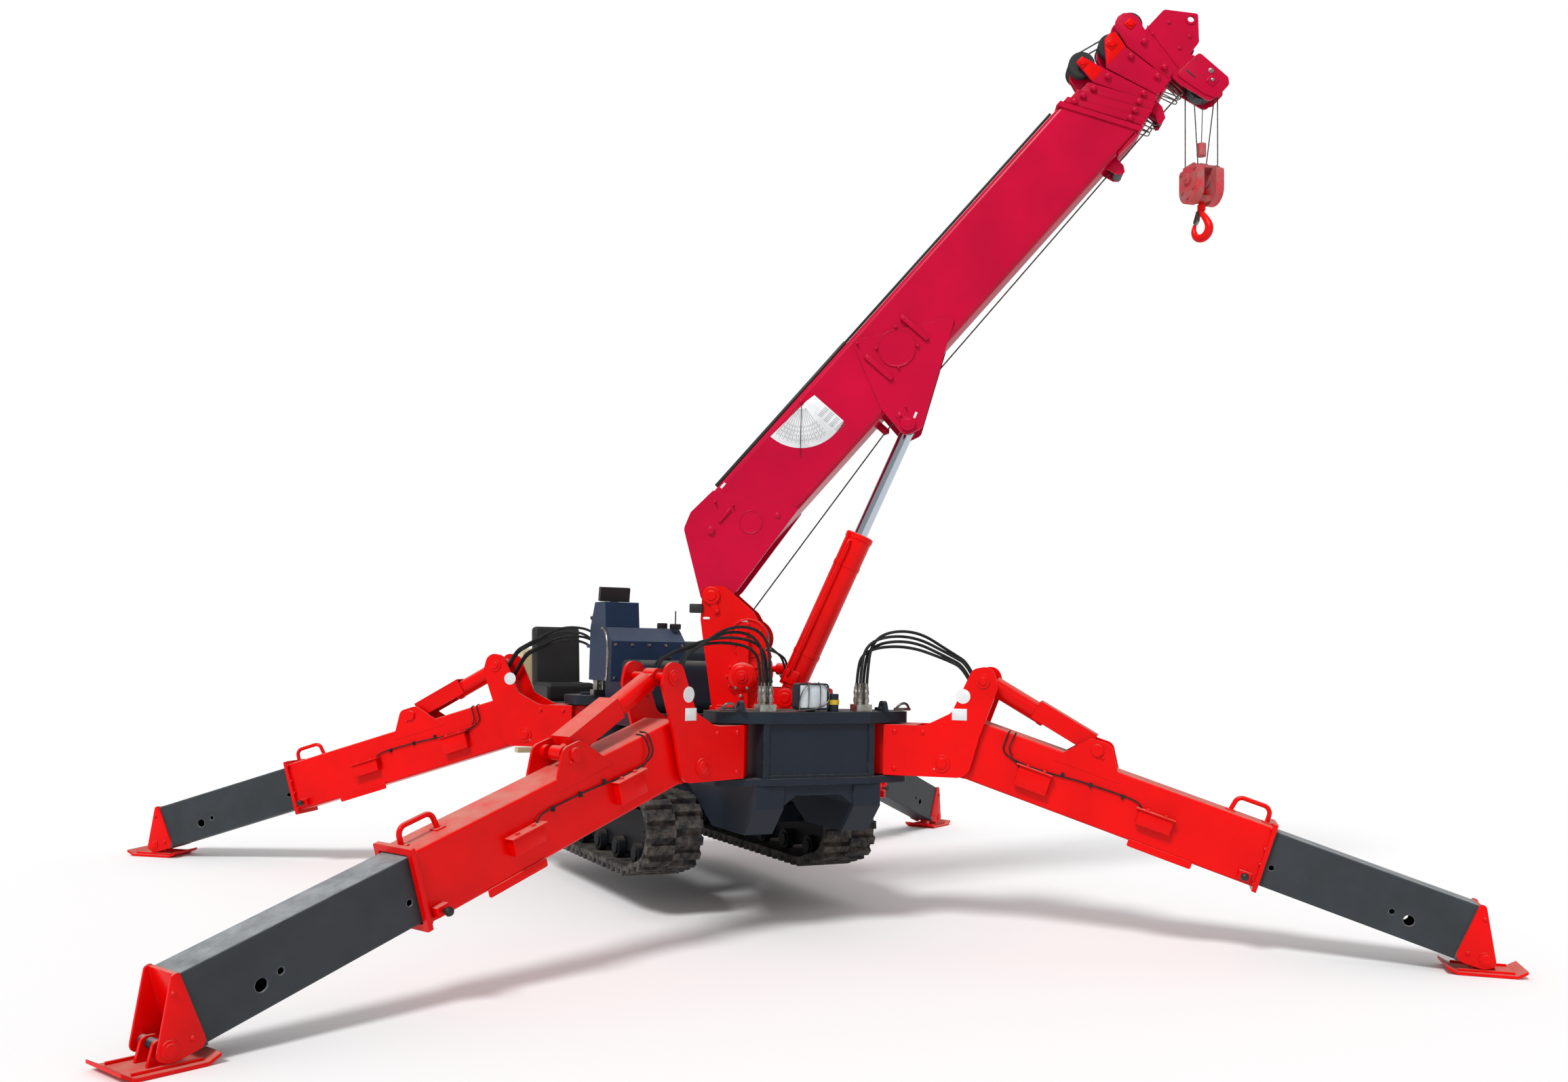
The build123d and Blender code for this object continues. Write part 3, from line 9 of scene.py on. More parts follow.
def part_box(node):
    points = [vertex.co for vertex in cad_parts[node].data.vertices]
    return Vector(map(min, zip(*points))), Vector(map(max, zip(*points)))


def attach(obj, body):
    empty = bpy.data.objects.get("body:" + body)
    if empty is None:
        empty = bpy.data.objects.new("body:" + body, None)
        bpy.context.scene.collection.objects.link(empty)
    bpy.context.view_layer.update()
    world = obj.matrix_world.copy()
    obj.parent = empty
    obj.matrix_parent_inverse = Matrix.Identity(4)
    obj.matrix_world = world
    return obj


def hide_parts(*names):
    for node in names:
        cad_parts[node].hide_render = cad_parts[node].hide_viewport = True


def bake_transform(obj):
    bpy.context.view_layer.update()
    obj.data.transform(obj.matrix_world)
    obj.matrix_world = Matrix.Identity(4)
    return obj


bl_info = {
    "name": "Spider crane finish",
    "version": (1, 0, 0),
    "blender": (4, 5, 0),
    "location": "3D View > Sidebar > Crane",
    "description": "Paints the crane and adds its ropes, hoses, lamps and small fittings",
    "category": "Object",
}

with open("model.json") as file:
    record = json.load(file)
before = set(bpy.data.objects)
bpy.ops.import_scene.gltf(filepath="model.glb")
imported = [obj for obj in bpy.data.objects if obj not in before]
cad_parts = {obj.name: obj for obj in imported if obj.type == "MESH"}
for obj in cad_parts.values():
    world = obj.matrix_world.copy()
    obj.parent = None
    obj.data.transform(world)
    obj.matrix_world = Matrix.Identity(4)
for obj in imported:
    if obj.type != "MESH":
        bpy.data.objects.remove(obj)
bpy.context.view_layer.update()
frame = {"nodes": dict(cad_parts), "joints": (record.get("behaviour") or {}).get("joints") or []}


def linear(hex_colour):
    """An sRGB hex colour as linear red, green, blue and alpha."""
    channels = [int(hex_colour[i : i + 2], 16) / 255 for i in (1, 3, 5)]
    return [c / 12.92 if c <= 0.04045 else ((c + 0.055) / 1.055) ** 2.4 for c in channels] + [1.0]


def colour(name, hex_colour, description):
    return FloatVectorProperty(
        name=name, description=description, default=linear(hex_colour), size=4, min=0, max=1, subtype="COLOR"
    )


def length(name, metres, description):
    return FloatProperty(name=name, description=description, default=metres, min=0, unit="LENGTH")


class CranePaints(bpy.types.PropertyGroup):
    """The crane's colours."""

    leg_red: colour("Leg red", "#E60000", "Enamel of the legs, the column and the cylinders")
    boom_red: colour("Boom red", "#C20034", "Enamel of the boom")
    frame_grey: colour("Frame grey", "#232B35", "Enamel of the frame, the deck and the console")
    leg_grey: colour("Leg grey", "#30363B", "Paint of the sliding leg beams")
    cream: colour("Cream", "#CFC59D", "Paint of the rear box and the step")
    dust: colour("Dust", "#B9A595", "Dry dust on the faces that look up")


class CraneSizes(bpy.types.PropertyGroup):
    """The crane's small sizes."""

    rope: length("Rope", 0.010, "Thickness of the wire rope")
    hose: length("Hose", 0.019, "Thickness of a leg's hydraulic hose")
    cable: length("Cable", 0.009, "Thickness of a sensor cable")


# Places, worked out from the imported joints
UP = Vector((0, 0, 1))
JOINTS = {joint["name"]: joint for joint in frame["joints"]}
LEGS = ("front_right", "front_left", "rear_right", "rear_left")
SLEW_TO_FRONT = 0.8


def place_of(joint):
    return Vector(JOINTS[joint]["pos_m"])


def axis_of(joint):
    return Vector(JOINTS[joint]["axis"])


def flat(vector):
    return Vector((vector[0], vector[1], 0))


def frame_at(origin, forward):
    """A piece's own axes: x forward, y to its left and z up, as a matrix."""
    x = Vector(forward).normalized()
    y = UP.cross(x).normalized()
    matrix = Matrix((x, y, x.cross(y))).transposed().to_4x4()
    matrix.translation = origin
    return matrix


AHEAD = axis_of("telescope_2")
MACHINE = Matrix.Translation(flat(place_of("slew")) + Vector((SLEW_TO_FRONT, 0, 0)))
COLUMN = frame_at(flat(place_of("slew")), flat(AHEAD))
BOOM = frame_at(place_of("luff"), AHEAD)
LUFF = frame_at(place_of("luff_barrel_pivot"), axis_of("luff_stroke"))
TACKLE = frame_at(place_of("hook_plumb"), flat(AHEAD))
BLOCK = TACKLE @ Matrix.Translation((0, 0, -0.640)) @ Matrix.Rotation(math.radians(-70), 4, "Z")
HOOK = TACKLE @ Matrix.Translation((0, 0, -0.975)) @ Matrix.Rotation(math.radians(-50), 4, "Z")
KNUCKLE = {
    leg: frame_at(flat(place_of(f"leg_swing_{leg}")), flat(axis_of(f"leg_reach_{leg}"))) for leg in LEGS
}
LEG = {leg: frame_at(place_of(f"leg_lift_{leg}"), axis_of(f"leg_reach_{leg}")) for leg in LEGS}
LEG_CYLINDER = {
    leg: frame_at(place_of(f"leg_barrel_pivot_{leg}"), axis_of(f"leg_stroke_{leg}")) for leg in LEGS
}
# The side of a leg that looks to the machine's front: +1 is the leg's left
FRONT_SIDE = {"front_right": -1, "front_left": 1, "rear_right": -1, "rear_left": 1}


# Turn a turned piece's axis from up to one side
TO_RIGHT = Matrix.Rotation(math.radians(90), 4, "X")
TO_LEFT = Matrix.Rotation(math.radians(-90), 4, "X")
TO_FRONT = Matrix.Rotation(math.radians(90), 4, "Y")
AS_IT_IS = Matrix.Identity(4)
# Both sides of a piece: -1 is its right, +1 its left
SIDES = (-1, 1)


def facing(way):
    return TO_LEFT if way > 0 else TO_RIGHT


# Modelling steps
def fresh():
    """Object mode with nothing selected, as each new primitive needs."""
    if bpy.context.object and bpy.context.object.mode != "OBJECT":
        bpy.ops.object.mode_set(mode="OBJECT")
    bpy.ops.object.select_all(action="DESELECT")


def finished(name, place, bevel=0.0, segments=2):
    """The active piece with its edges broken and its place moved into its mesh."""
    piece = bpy.context.object
    piece.name = piece.data.name = name
    piece.data.transform(piece.matrix_basis)
    piece.matrix_basis = AS_IT_IS
    if bevel:
        edge = piece.modifiers.new("edge", "BEVEL")
        edge.width = bevel
        edge.segments = segments
        edge.limit_method = "ANGLE"
        bpy.ops.object.modifier_apply(modifier=edge.name)
    bpy.ops.object.shade_smooth_by_angle(angle=math.radians(35))
    piece.data.transform(place)
    return piece


def block(name, place, low, high, bevel=0.003):
    """A rectangular piece between two corners, its edges broken."""
    fresh()
    low, high = Vector(low), Vector(high)
    bpy.ops.mesh.primitive_cube_add(size=1, location=(low + high) / 2, scale=high - low)
    return finished(name, place, bevel)


def bar(name, place, start, end, radius, sides=24, bevel=0.002):
    """A round or six-sided bar between two points."""
    fresh()
    start, end = Vector(start), Vector(end)
    along = end - start
    turn = along.to_track_quat("Z", "Y").to_euler()
    bpy.ops.mesh.primitive_cylinder_add(
        vertices=sides, radius=radius, depth=along.length, location=(start + end) / 2, rotation=turn
    )
    return finished(name, place, bevel)


def plate(name, place, outline, low, high, bevel=0.002):
    """A plate cut to an outline of (x, z) points and pulled out from y low to y high."""
    fresh()
    bpy.ops.mesh.primitive_circle_add(vertices=len(outline), fill_type="NGON")
    for vertex, (x, z) in zip(bpy.context.object.data.vertices, outline):
        vertex.co = (x, low, z)
    bpy.ops.object.mode_set(mode="EDIT")
    bpy.ops.mesh.select_all(action="SELECT")
    bpy.ops.mesh.extrude_region_move(TRANSFORM_OT_translate={"value": (0, high - low, 0)})
    bpy.ops.mesh.select_all(action="SELECT")
    bpy.ops.mesh.normals_make_consistent(inside=False)
    bpy.ops.object.mode_set(mode="OBJECT")
    return finished(name, place, bevel)


def turned(name, place, profile, sides=32):
    """A turned piece: a closed profile of (radius, height) spun about the local z axis."""
    fresh()
    bpy.ops.mesh.primitive_circle_add(vertices=len(profile), fill_type="NOTHING")
    for vertex, (radius, height) in zip(bpy.context.object.data.vertices, profile):
        vertex.co = (radius, 0, height)
    bpy.ops.object.mode_set(mode="EDIT")
    bpy.ops.mesh.select_all(action="SELECT")
    bpy.ops.mesh.spin(steps=sides, angle=2 * math.pi, center=(0, 0, 0), axis=(0, 0, 1))
    bpy.ops.mesh.select_all(action="SELECT")
    bpy.ops.mesh.remove_doubles(threshold=0.0001)
    bpy.ops.mesh.normals_make_consistent(inside=False)
    bpy.ops.object.mode_set(mode="OBJECT")
    return finished(name, place)


def line_through(name, points, smooth=True):
    """A curve of one open spline through a route's points, and the points read back from it."""
    curve = bpy.data.curves.new(name, "CURVE")
    curve.dimensions = "3D"
    spline = curve.splines.new("NURBS" if smooth else "POLY")
    spline.points.add(len(points) - 1)
    for knot, point in zip(spline.points, points):
        knot.co = (*point, 1)
    if smooth:
        spline.order_u = 3
        spline.use_endpoint_u = True
    piece = bpy.data.objects.new(name, curve)
    bpy.context.scene.collection.objects.link(piece)
    bpy.context.view_layer.update()
    traced = bpy.data.meshes.new_from_object(piece)
    path = [vertex.co.copy() for vertex in traced.vertices]
    bpy.data.meshes.remove(traced)
    return piece, path


def strand(name, place, points, radius, smooth=True, sides=3):
    """A round strand along a route, made a mesh, and the path that it follows."""
    route = [place @ Vector(point) for point in points]
    piece, path = line_through(name, route, smooth)
    piece.data.bevel_depth = radius
    piece.data.bevel_resolution = sides
    piece.data.use_fill_caps = True
    fresh()
    piece.select_set(True)
    bpy.context.view_layer.objects.active = piece
    bpy.ops.object.convert(target="MESH")
    piece = bpy.context.object
    bpy.ops.object.shade_smooth()
    return piece, path


def joined(name, pieces):
    """Several pieces made one."""
    fresh()
    for piece in pieces:
        piece.select_set(True)
    bpy.context.view_layer.objects.active = pieces[0]
    if len(pieces) > 1:
        bpy.ops.object.join()
    pieces[0].name = pieces[0].data.name = name
    return pieces[0]


def copied(name, piece, place):
    """A copy with its own mesh, moved by a matrix."""
    copy = piece.copy()
    copy.data = piece.data.copy()
    copy.name = copy.data.name = name
    copy.data.transform(place)
    bpy.context.scene.collection.objects.link(copy)
    return copy


def paint_with(piece, finish):
    piece.data.materials.clear()
    piece.data.materials.append(LOOK[finish])


def dress(piece, body, finish):
    """The piece's finish, and the body that it rides on."""
    paint_with(piece, finish)
    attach(piece, body)


def fit(name, pieces, body, finish):
    """Several pieces made one, with its finish and its body."""
    dress(joined(name, pieces), body, finish)


def bolt(name, place, centre, outward, radius=0.013, height=0.009):
    """A domed hexagon head with its washer."""
    outward = Vector(outward)
    centre = Vector(centre)
    washer = bar(name, place, centre, centre + outward * 0.003, radius * 1.35, 20, 0.0008)
    head = bar(name, place, centre, centre + outward * height, radius, 6, 0.0015)
    return joined(name, [washer, head])


def rounded(corners, radius, steps=5):
    """A closed outline of (x, z) points with its corners rounded."""
    outline = []
    for n, corner in enumerate(corners):
        corner = Vector(corner)
        before = Vector(corners[n - 1]) - corner
        after = Vector(corners[(n + 1) % len(corners)]) - corner
        cut = radius / math.tan(before.angle(after) / 2)
        cut = min(cut, before.length * 0.48, after.length * 0.48)
        first = corner + before.normalized() * cut
        last = corner + after.normalized() * cut
        for step in range(steps + 1):
            t = step / steps
            outline.append(first * (1 - t) ** 2 + corner * 2 * t * (1 - t) + last * t * t)
    return outline


def circle(x, z, radius, count, first=0.0):
    """Points evenly spaced on a circle."""
    turns = [2 * math.pi * (step + first) / count for step in range(count)]
    return [(x + radius * math.cos(turn), z + radius * math.sin(turn)) for turn in turns]


def side_plate(name, place, outline, way, inner, outer, bevel=0.002):
    """A plate on one side of a piece, between two distances from its middle."""
    return plate(name, place, outline, *sorted((way * inner, way * outer)), bevel)


def side_turned(name, place, x, z, way, out, profile, sides=32):
    """A turned piece on one side's face, its axis outwards."""
    return turned(name, place @ Matrix.Translation((x, way * out, z)) @ facing(way), profile, sides)


def side_block(name, place, face, out, depth, x, z, bevel=0.003):
    """A block that stands on a side face and reaches outwards; x and z are its (low, high) limits."""
    near, far = sorted((face - out * 0.001, face + out * depth))
    return block(name, place, (x[0], near, z[0]), (x[1], far, z[1]), bevel)


# Materials
def add(tree, kind, settings=None, links=None):
    """One node with its settings, fed by other nodes' outputs."""
    made = tree.nodes.new(kind)
    for name, value in (settings or {}).items():
        if isinstance(name, int) or name in made.inputs:
            made.inputs[name].default_value = value
        else:
            setattr(made, name, value)
    for name, source in (links or {}).items():
        tree.links.new(source, made.inputs[name])
    return made


def ramp(tree, source, low, high, from_value=0.0, to_value=1.0):
    """A number that goes from one value to another between two limits of its source."""
    settings = {"From Min": low, "From Max": high, "To Min": from_value, "To Max": to_value, "clamp": True}
    return add(tree, "ShaderNodeMapRange", settings, {"Value": source}).outputs["Result"]


def mixed(tree, factor, first, second, blend="MIX"):
    """Two colours mixed by a factor; each is a colour or another node's output."""
    node = add(tree, "ShaderNodeMix", {"data_type": "RGBA", "blend_type": blend})
    for socket, value in ((0, factor), (6, first), (7, second)):
        if isinstance(value, bpy.types.NodeSocket):
            tree.links.new(value, node.inputs[socket])
        else:
            node.inputs[socket].default_value = value
    return node.outputs[2]


def new_material(name):
    material = bpy.data.materials.new(name)
    material.use_nodes = True
    tree = material.node_tree
    tree.nodes.clear()
    return material, tree


def shaded(tree, settings, links):
    """The surface shader and the output."""
    shader = add(tree, "ShaderNodeBsdfPrincipled", settings, links)
    add(tree, "ShaderNodeOutputMaterial", {}, {"Surface": shader.outputs["BSDF"]})
    return shader


def patches(tree, millimetres, detail=3.0, roughness=0.55):
    """Cloudy noise on the piece's own coordinates; its patches are about that many millimetres wide."""
    where = add(tree, "ShaderNodeTexCoord").outputs["Object"]
    settings = {"Scale": 1000 / millimetres, "Detail": detail, "Roughness": roughness}
    return add(tree, "ShaderNodeTexNoise", settings, {"Vector": where}).outputs["Fac"]


def looking_up(tree, low, high):
    """1 on faces that look up, 0 on the others, in the piece's own axes."""
    normal = add(tree, "ShaderNodeTexCoord").outputs["Normal"]
    z = add(tree, "ShaderNodeSeparateXYZ", {}, {"Vector": normal}).outputs["Z"]
    return ramp(tree, z, low, high)


def times(tree, first, second):
    return add(tree, "ShaderNodeMath", {"operation": "MULTIPLY"}, {0: first, 1: second}).outputs["Value"]


def bumps(tree, strength, distance, height, normal=None):
    """A normal roughened by a height, on top of another normal if one is given."""
    links = {"Height": height, "Normal": normal} if normal else {"Height": height}
    settings = {"Strength": strength, "Distance": distance}
    return add(tree, "ShaderNodeBump", settings, links).outputs["Normal"]


def darker(paint, share):
    return [channel * share for channel in paint[:3]] + [1.0]


def broken_edge(tree, radius):
    """A softened normal, and how far an edge bends it: worn edges show where it is large."""
    soft = add(tree, "ShaderNodeBevel", {"samples": 4, "Radius": radius})
    true = add(tree, "ShaderNodeNewGeometry").outputs["Normal"]
    links = {0: soft.outputs["Normal"], 1: true}
    dot = add(tree, "ShaderNodeVectorMath", {"operation": "DOT_PRODUCT"}, links).outputs["Value"]
    return soft.outputs["Normal"], ramp(tree, dot, 0.995, 0.9)


def enamel(name, paint, dust, dusty=0.5, worn="#5A4A44", wear=0.35, roughness=0.3):
    """Sprayed two-pack enamel on welded plate: gloss with a faint orange peel, dust on top, worn edges."""
    material, tree = new_material(name)
    normal, edge = broken_edge(tree, 0.004)
    tint = ramp(tree, patches(tree, 420), 0.3, 0.75)
    base = mixed(tree, tint, darker(paint, 0.8), paint)
    scuffs = times(tree, edge, ramp(tree, patches(tree, 35, 6), 0.5, 0.62, 0, wear))
    base = mixed(tree, scuffs, base, linear(worn))
    settled = times(tree, looking_up(tree, 0.55, 0.95), ramp(tree, patches(tree, 160, 8, 0.7), 0.3, 0.7, 0.2, dusty))
    base = mixed(tree, settled, base, dust)
    dull = times(tree, settled, ramp(tree, patches(tree, 60), 0.2, 0.8, 0.3, 0.6))
    gloss = add(tree, "ShaderNodeMath", {"operation": "ADD", 1: roughness}, {0: dull})
    # Orange peel of 2 to 3 mm is drawn 9 mm wide, or it wouldn't show
    peel = bumps(tree, 0.06, 0.002, patches(tree, 9, 1), normal)
    shaded(
        tree,
        {"IOR": 1.5, "Specular IOR Level": 0.16},
        {"Base Color": base, "Roughness": gloss.outputs["Value"], "Normal": peel},
    )
    return material


def weathered(name, paint_hex, faded_hex, bare_hex):
    """Old enamel on the tackle: bleached in patches, knocked off the corners, stained dark in spots."""
    material, tree = new_material(name)
    normal, edge = broken_edge(tree, 0.005)
    faded = ramp(tree, patches(tree, 110, 8, 0.7), 0.4, 0.62, 0, 0.85)
    base = mixed(tree, faded, linear(paint_hex), linear(faded_hex))
    stains = ramp(tree, patches(tree, 30, 10, 0.8), 0.62, 0.72, 0, 0.8)
    base = mixed(tree, stains, base, linear(bare_hex))
    base = mixed(tree, times(tree, edge, ramp(tree, patches(tree, 25, 6), 0.4, 0.6)), base, linear(bare_hex))
    rough = bumps(tree, 0.2, 0.002, patches(tree, 16, 8), normal)
    shaded(tree, {"Roughness": 0.55, "Specular IOR Level": 0.25}, {"Base Color": base, "Normal": rough})
    return material


def sliding_paint(name, paint, dust):
    """Satin paint on the sliding beams, rubbed pale along the corners and streaked by the wear pads."""
    material, tree = new_material(name)
    normal, edge = broken_edge(tree, 0.008)
    base = mixed(tree, ramp(tree, patches(tree, 260, 5), 0.35, 0.7), darker(paint, 0.7), paint)
    rubbed = times(tree, edge, ramp(tree, patches(tree, 90, 8, 0.7), 0.35, 0.6))
    base = mixed(tree, rubbed, base, linear("#8E9498"))
    settled = times(tree, looking_up(tree, 0.5, 0.9), ramp(tree, patches(tree, 120, 8, 0.7), 0.25, 0.65, 0.35, 0.9))
    base = mixed(tree, settled, base, linear("#9CA0A3"))
    specks = ramp(tree, patches(tree, 14, 10, 0.8), 0.66, 0.74, 0, 0.5)
    base = mixed(tree, specks, base, dust)
    grain = bumps(tree, 0.1, 0.002, patches(tree, 12, 6), normal)
    satin = {"Roughness": 0.5, "IOR": 1.5, "Specular IOR Level": 0.35}
    shaded(tree, satin, {"Base Color": base, "Normal": grain})
    return material


def rubber(name, base_hex="#212326", dusty_hex="#7A7468", dusty=0.55):
    """Moulded black rubber, greyed with dry dirt on what meets the ground."""
    material, tree = new_material(name)
    dirt = ramp(tree, patches(tree, 70, 10, 0.7), 0.42, 0.68, 0, dusty)
    base = mixed(tree, dirt, linear(base_hex), linear(dusty_hex))
    grain = bumps(tree, 0.35, 0.003, patches(tree, 8, 8))
    shaded(tree, {"Roughness": 0.82, "Specular IOR Level": 0.3}, {"Base Color": base, "Normal": grain})
    return material


def bare_metal(name, base_hex, roughness, grain=18, dark_hex=None):
    """Bright or plated steel; its grain is drawn coarse enough to show."""
    material, tree = new_material(name)
    tone = ramp(tree, patches(tree, grain * 4, 6), 0.4, 0.7)
    base = mixed(tree, tone, linear(dark_hex or base_hex), linear(base_hex))
    rough = ramp(tree, patches(tree, grain, 6), 0.2, 0.8, roughness * 0.7, roughness * 1.4)
    shaded(tree, {"Metallic": 1.0}, {"Base Color": base, "Roughness": rough})
    return material


def plastic(name, base_hex, roughness=0.5, grit=3, strength=0.12):
    """Moulded plastic with a fine sparked grain."""
    material, tree = new_material(name)
    base_colour = linear(base_hex)
    base = mixed(tree, ramp(tree, patches(tree, 120, 5), 0.35, 0.7), darker(base_colour, 0.75), base_colour)
    grain = bumps(tree, strength, 0.001, patches(tree, grit, 3))
    shaded(tree, {"Roughness": roughness}, {"Base Color": base, "Normal": grain})
    return material


def make_materials(paints):
    """Every finish on the crane, by a short name."""
    dust = paints.dust[:]
    return {
        # Glossy reds: clean saturated sides with soft highlights, greyed by dust on top
        "leg_red": enamel("sprayed_enamel_leg_red", paints.leg_red[:], dust, 0.6),
        "boom_red": enamel("sprayed_enamel_boom_red", paints.boom_red[:], dust, 0.35, wear=0.25, roughness=0.26),
        # Old, pink and dull on the block; new and bright on the hook
        "block_red": weathered("weathered_block_enamel", "#C8303C", "#9A6A66", "#4A3A36"),
        "hook_red": enamel("fresh_hook_enamel", linear("#E60808"), linear("#A08070"), 0.3, "#5A3028", 0.9, 0.35),
        # Satin greys: dark, with a broad dim sheen; the undercarriage is matt with dried mud
        "frame": enamel(
            "satin_enamel_frame_grey", paints.frame_grey[:], linear("#8A8578"), 0.45, "#77706A", 0.5, 0.42
        ),
        "track_frame": enamel(
            "dusty_enamel_track_frame", linear("#101418"), linear("#5E594F"), 0.7, "#3A3632", 0.6, 0.6
        ),
        "panel": enamel("fine_texture_enamel_panel", linear("#22344E"), linear("#8A8F98"), 0.3, "#55606A", 0.3, 0.4),
        # A black mirror
        "screen": plastic("dark_display_glass", "#0B0E12", 0.08, 6, 0.0),
        # Warm pale enamel, and the sliding beams' grey that is rubbed lighter on its corners
        "cream": enamel("gloss_enamel_cream", paints.cream[:], dust, 0.4, "#6A6050", 0.4, 0.4),
        "leg_grey": sliding_paint("rubbed_satin_paint_grey", paints.leg_grey[:], dust),
        # Rubbers: matt black, dusty on the tracks
        "rubber": rubber("moulded_track_rubber"),
        "hose": rubber("hydraulic_hose_rubber", "#16181A", "#4A4A48", 0.25),
        # Metals: a mirror on the rods, dull silver on fittings, grey on worn steel and rope
        "chrome": bare_metal("hard_chrome_rod", "#B9C2CC", 0.1),
        "zinc": bare_metal("zinc_plated_steel", "#B8B9B6", 0.3, 10, "#8C8A80"),
        "steel": bare_metal("machined_steel", "#8C8C8A", 0.38, 14, "#5C5A56"),
        "rope": bare_metal("galvanised_wire_rope", "#7C7C7A", 0.45, 4, "#4A4846"),
        # Plastics: soft black mouldings and vinyl, flat films and inks, clear bright lenses
        "black": plastic("moulded_black_plastic", "#191B1D"),
        "vinyl": plastic("black_seat_vinyl", "#1C1D1F", 0.55, 4, 0.3),
        "white": plastic("printed_white_film", "#E6E8EA", 0.4, 6, 0.02),
        "grey_print": plastic("printed_grey_ink", "#6B7076", 0.5, 6, 0.02),
        "yellow": plastic("yellow_lens_plastic", "#D8B414", 0.25, 6, 0.02),
        "lamp_glass": plastic("lamp_glass", "#C9D2D8", 0.12, 6, 0.02),
        "red_lens": plastic("red_lens_plastic", "#C01010", 0.2, 6, 0.02),
    }


LOOK = {}

# CAD node, finish
NODE_FINISH = {
    "chassis_frame": "frame",
    "undercarriage": "track_frame",
    "track_right": "rubber",
    "track_left": "rubber",
    "body_shell": "frame",
    "engine_hood": "frame",
    "engine": "steel",
    "fuel_tank": "frame",
    "control_console": "panel",
    "operator_controls": "black",
    "rear_box": "cream",
    "hose_couplings": "zinc",
    "seat": "vinyl",
    "front_fittings": "frame",
    "crane_column": "leg_red",
    "slew_motor": "leg_red",
    "winch_drum": "leg_red",
    "luff_barrel": "leg_red",
    "luff_rod": "chrome",
    "overwind_weight": "block_red",
    "hook_block": "block_red",
    "hook": "hook_red",
}
LEG_FINISH = {
    "knuckle": "leg_red",
    "outer_leg": "leg_red",
    "inner_leg": "leg_grey",
    "pad": "leg_red",
    "leg_barrel": "leg_red",
    "leg_rod": "leg_red",
}


def finish_of(node):
    if node in NODE_FINISH:
        return NODE_FINISH[node]
    if node.startswith("boom_"):
        return "boom_red"
    for part, finish in LEG_FINISH.items():
        if node.startswith(part):
            return finish
    return "frame"


class CRANE_OT_paint(bpy.types.Operator):
    """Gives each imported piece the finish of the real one."""

    bl_idname = "crane.paint"
    bl_label = "Paint"

    def execute(self, context):
        LOOK.update(make_materials(context.scene.crane_paints))
        for name, node in frame["nodes"].items():
            paint_with(node, finish_of(name))
        return {"FINISHED"}


class CRANE_OT_stage(bpy.types.Operator):
    """Pale floor, soft light and the photograph's camera."""

    bl_idname = "crane.stage"
    bl_label = "Stage"

    def execute(self, context):
        fresh()
        bpy.ops.mesh.primitive_circle_add(vertices=96, radius=60, fill_type="NGON")
        floor = bpy.context.object
        floor.name = "floor"
        floor.data.transform(Matrix.Translation((0, 0, -0.002)))
        material, tree = new_material("matt_pale_floor")
        where = add(tree, "ShaderNodeTexCoord").outputs["Object"]
        far = add(tree, "ShaderNodeVectorMath", {"operation": "LENGTH"}, {0: where}).outputs["Value"]
        matt = add(tree, "ShaderNodeBsdfDiffuse", {"Color": linear("#EDEDED")})
        pale = add(tree, "ShaderNodeEmission", {"Color": linear("#FFFFFF"), "Strength": 1.0})
        seen = add(tree, "ShaderNodeLightPath").outputs["Is Camera Ray"]
        fade = times(tree, ramp(tree, far, 6.5, 15.0), seen)
        both = add(tree, "ShaderNodeMixShader", {}, {0: fade, 1: matt.outputs[0], 2: pale.outputs[0]})
        add(tree, "ShaderNodeOutputMaterial", {}, {"Surface": both.outputs[0]})
        floor.data.materials.append(material)
        # Light: one broad soft sun from the camera's left, and a bright sky that glossy paint sees dimmed
        sun_data = bpy.data.lights.new("soft_sun", "SUN")
        sun_data.energy = 2.3
        sun_data.angle = math.radians(14)
        sun = bpy.data.objects.new("soft_sun", sun_data)
        sun.rotation_euler = (Vector((-0.55, 0.75, -1.0))).to_track_quat("-Z", "Y").to_euler()
        context.scene.collection.objects.link(sun)
        world = bpy.data.worlds.new("pale_sky")
        world.use_nodes = True
        tree = world.node_tree
        tree.nodes.clear()
        path = add(tree, "ShaderNodeLightPath").outputs
        lit = ramp(tree, path["Is Camera Ray"], 0.0, 1.0, 0.66, 1.0)
        dimmed = ramp(tree, path["Is Glossy Ray"], 0.0, 1.0, 0.0, 0.22)
        strength = add(tree, "ShaderNodeMath", {"operation": "SUBTRACT"}, {0: lit, 1: dimmed})
        sky = add(tree, "ShaderNodeBackground", {"Color": linear("#FFFFFF")}, {"Strength": strength.outputs["Value"]})
        add(tree, "ShaderNodeOutputWorld", {}, {"Surface": sky.outputs[0]})
        context.scene.world = world
        context.scene.view_settings.view_transform = "Standard"
        # Camera: solved from the photograph, in the machine's axes
        place = Vector((7.678, -4.109, 1.774))
        yaw, pitch, roll = 2.679, 0.0756, 0.0213
        ahead = Vector((math.cos(yaw) * math.cos(pitch), math.sin(yaw) * math.cos(pitch), math.sin(pitch)))
        right = Vector((math.sin(yaw), -math.cos(yaw), 0))
        up = right.cross(ahead)
        x = right * math.cos(roll) + up * math.sin(roll)
        y = up * math.cos(roll) - right * math.sin(roll)
        camera_data = bpy.data.cameras.new("camera")
        camera_data.sensor_width = 36
        camera_data.lens = 36 * 2059.8 / 2312
        camera = bpy.data.objects.new("camera", camera_data)
        view = Matrix((x, y, -ahead)).transposed().to_4x4()
        view.translation = MACHINE @ place
        camera.matrix_world = view
        context.scene.collection.objects.link(camera)
        context.scene.camera = camera
        return {"FINISHED"}


# Thickness of the side plates at the sections' ends
SIDE_PLATE = 0.014
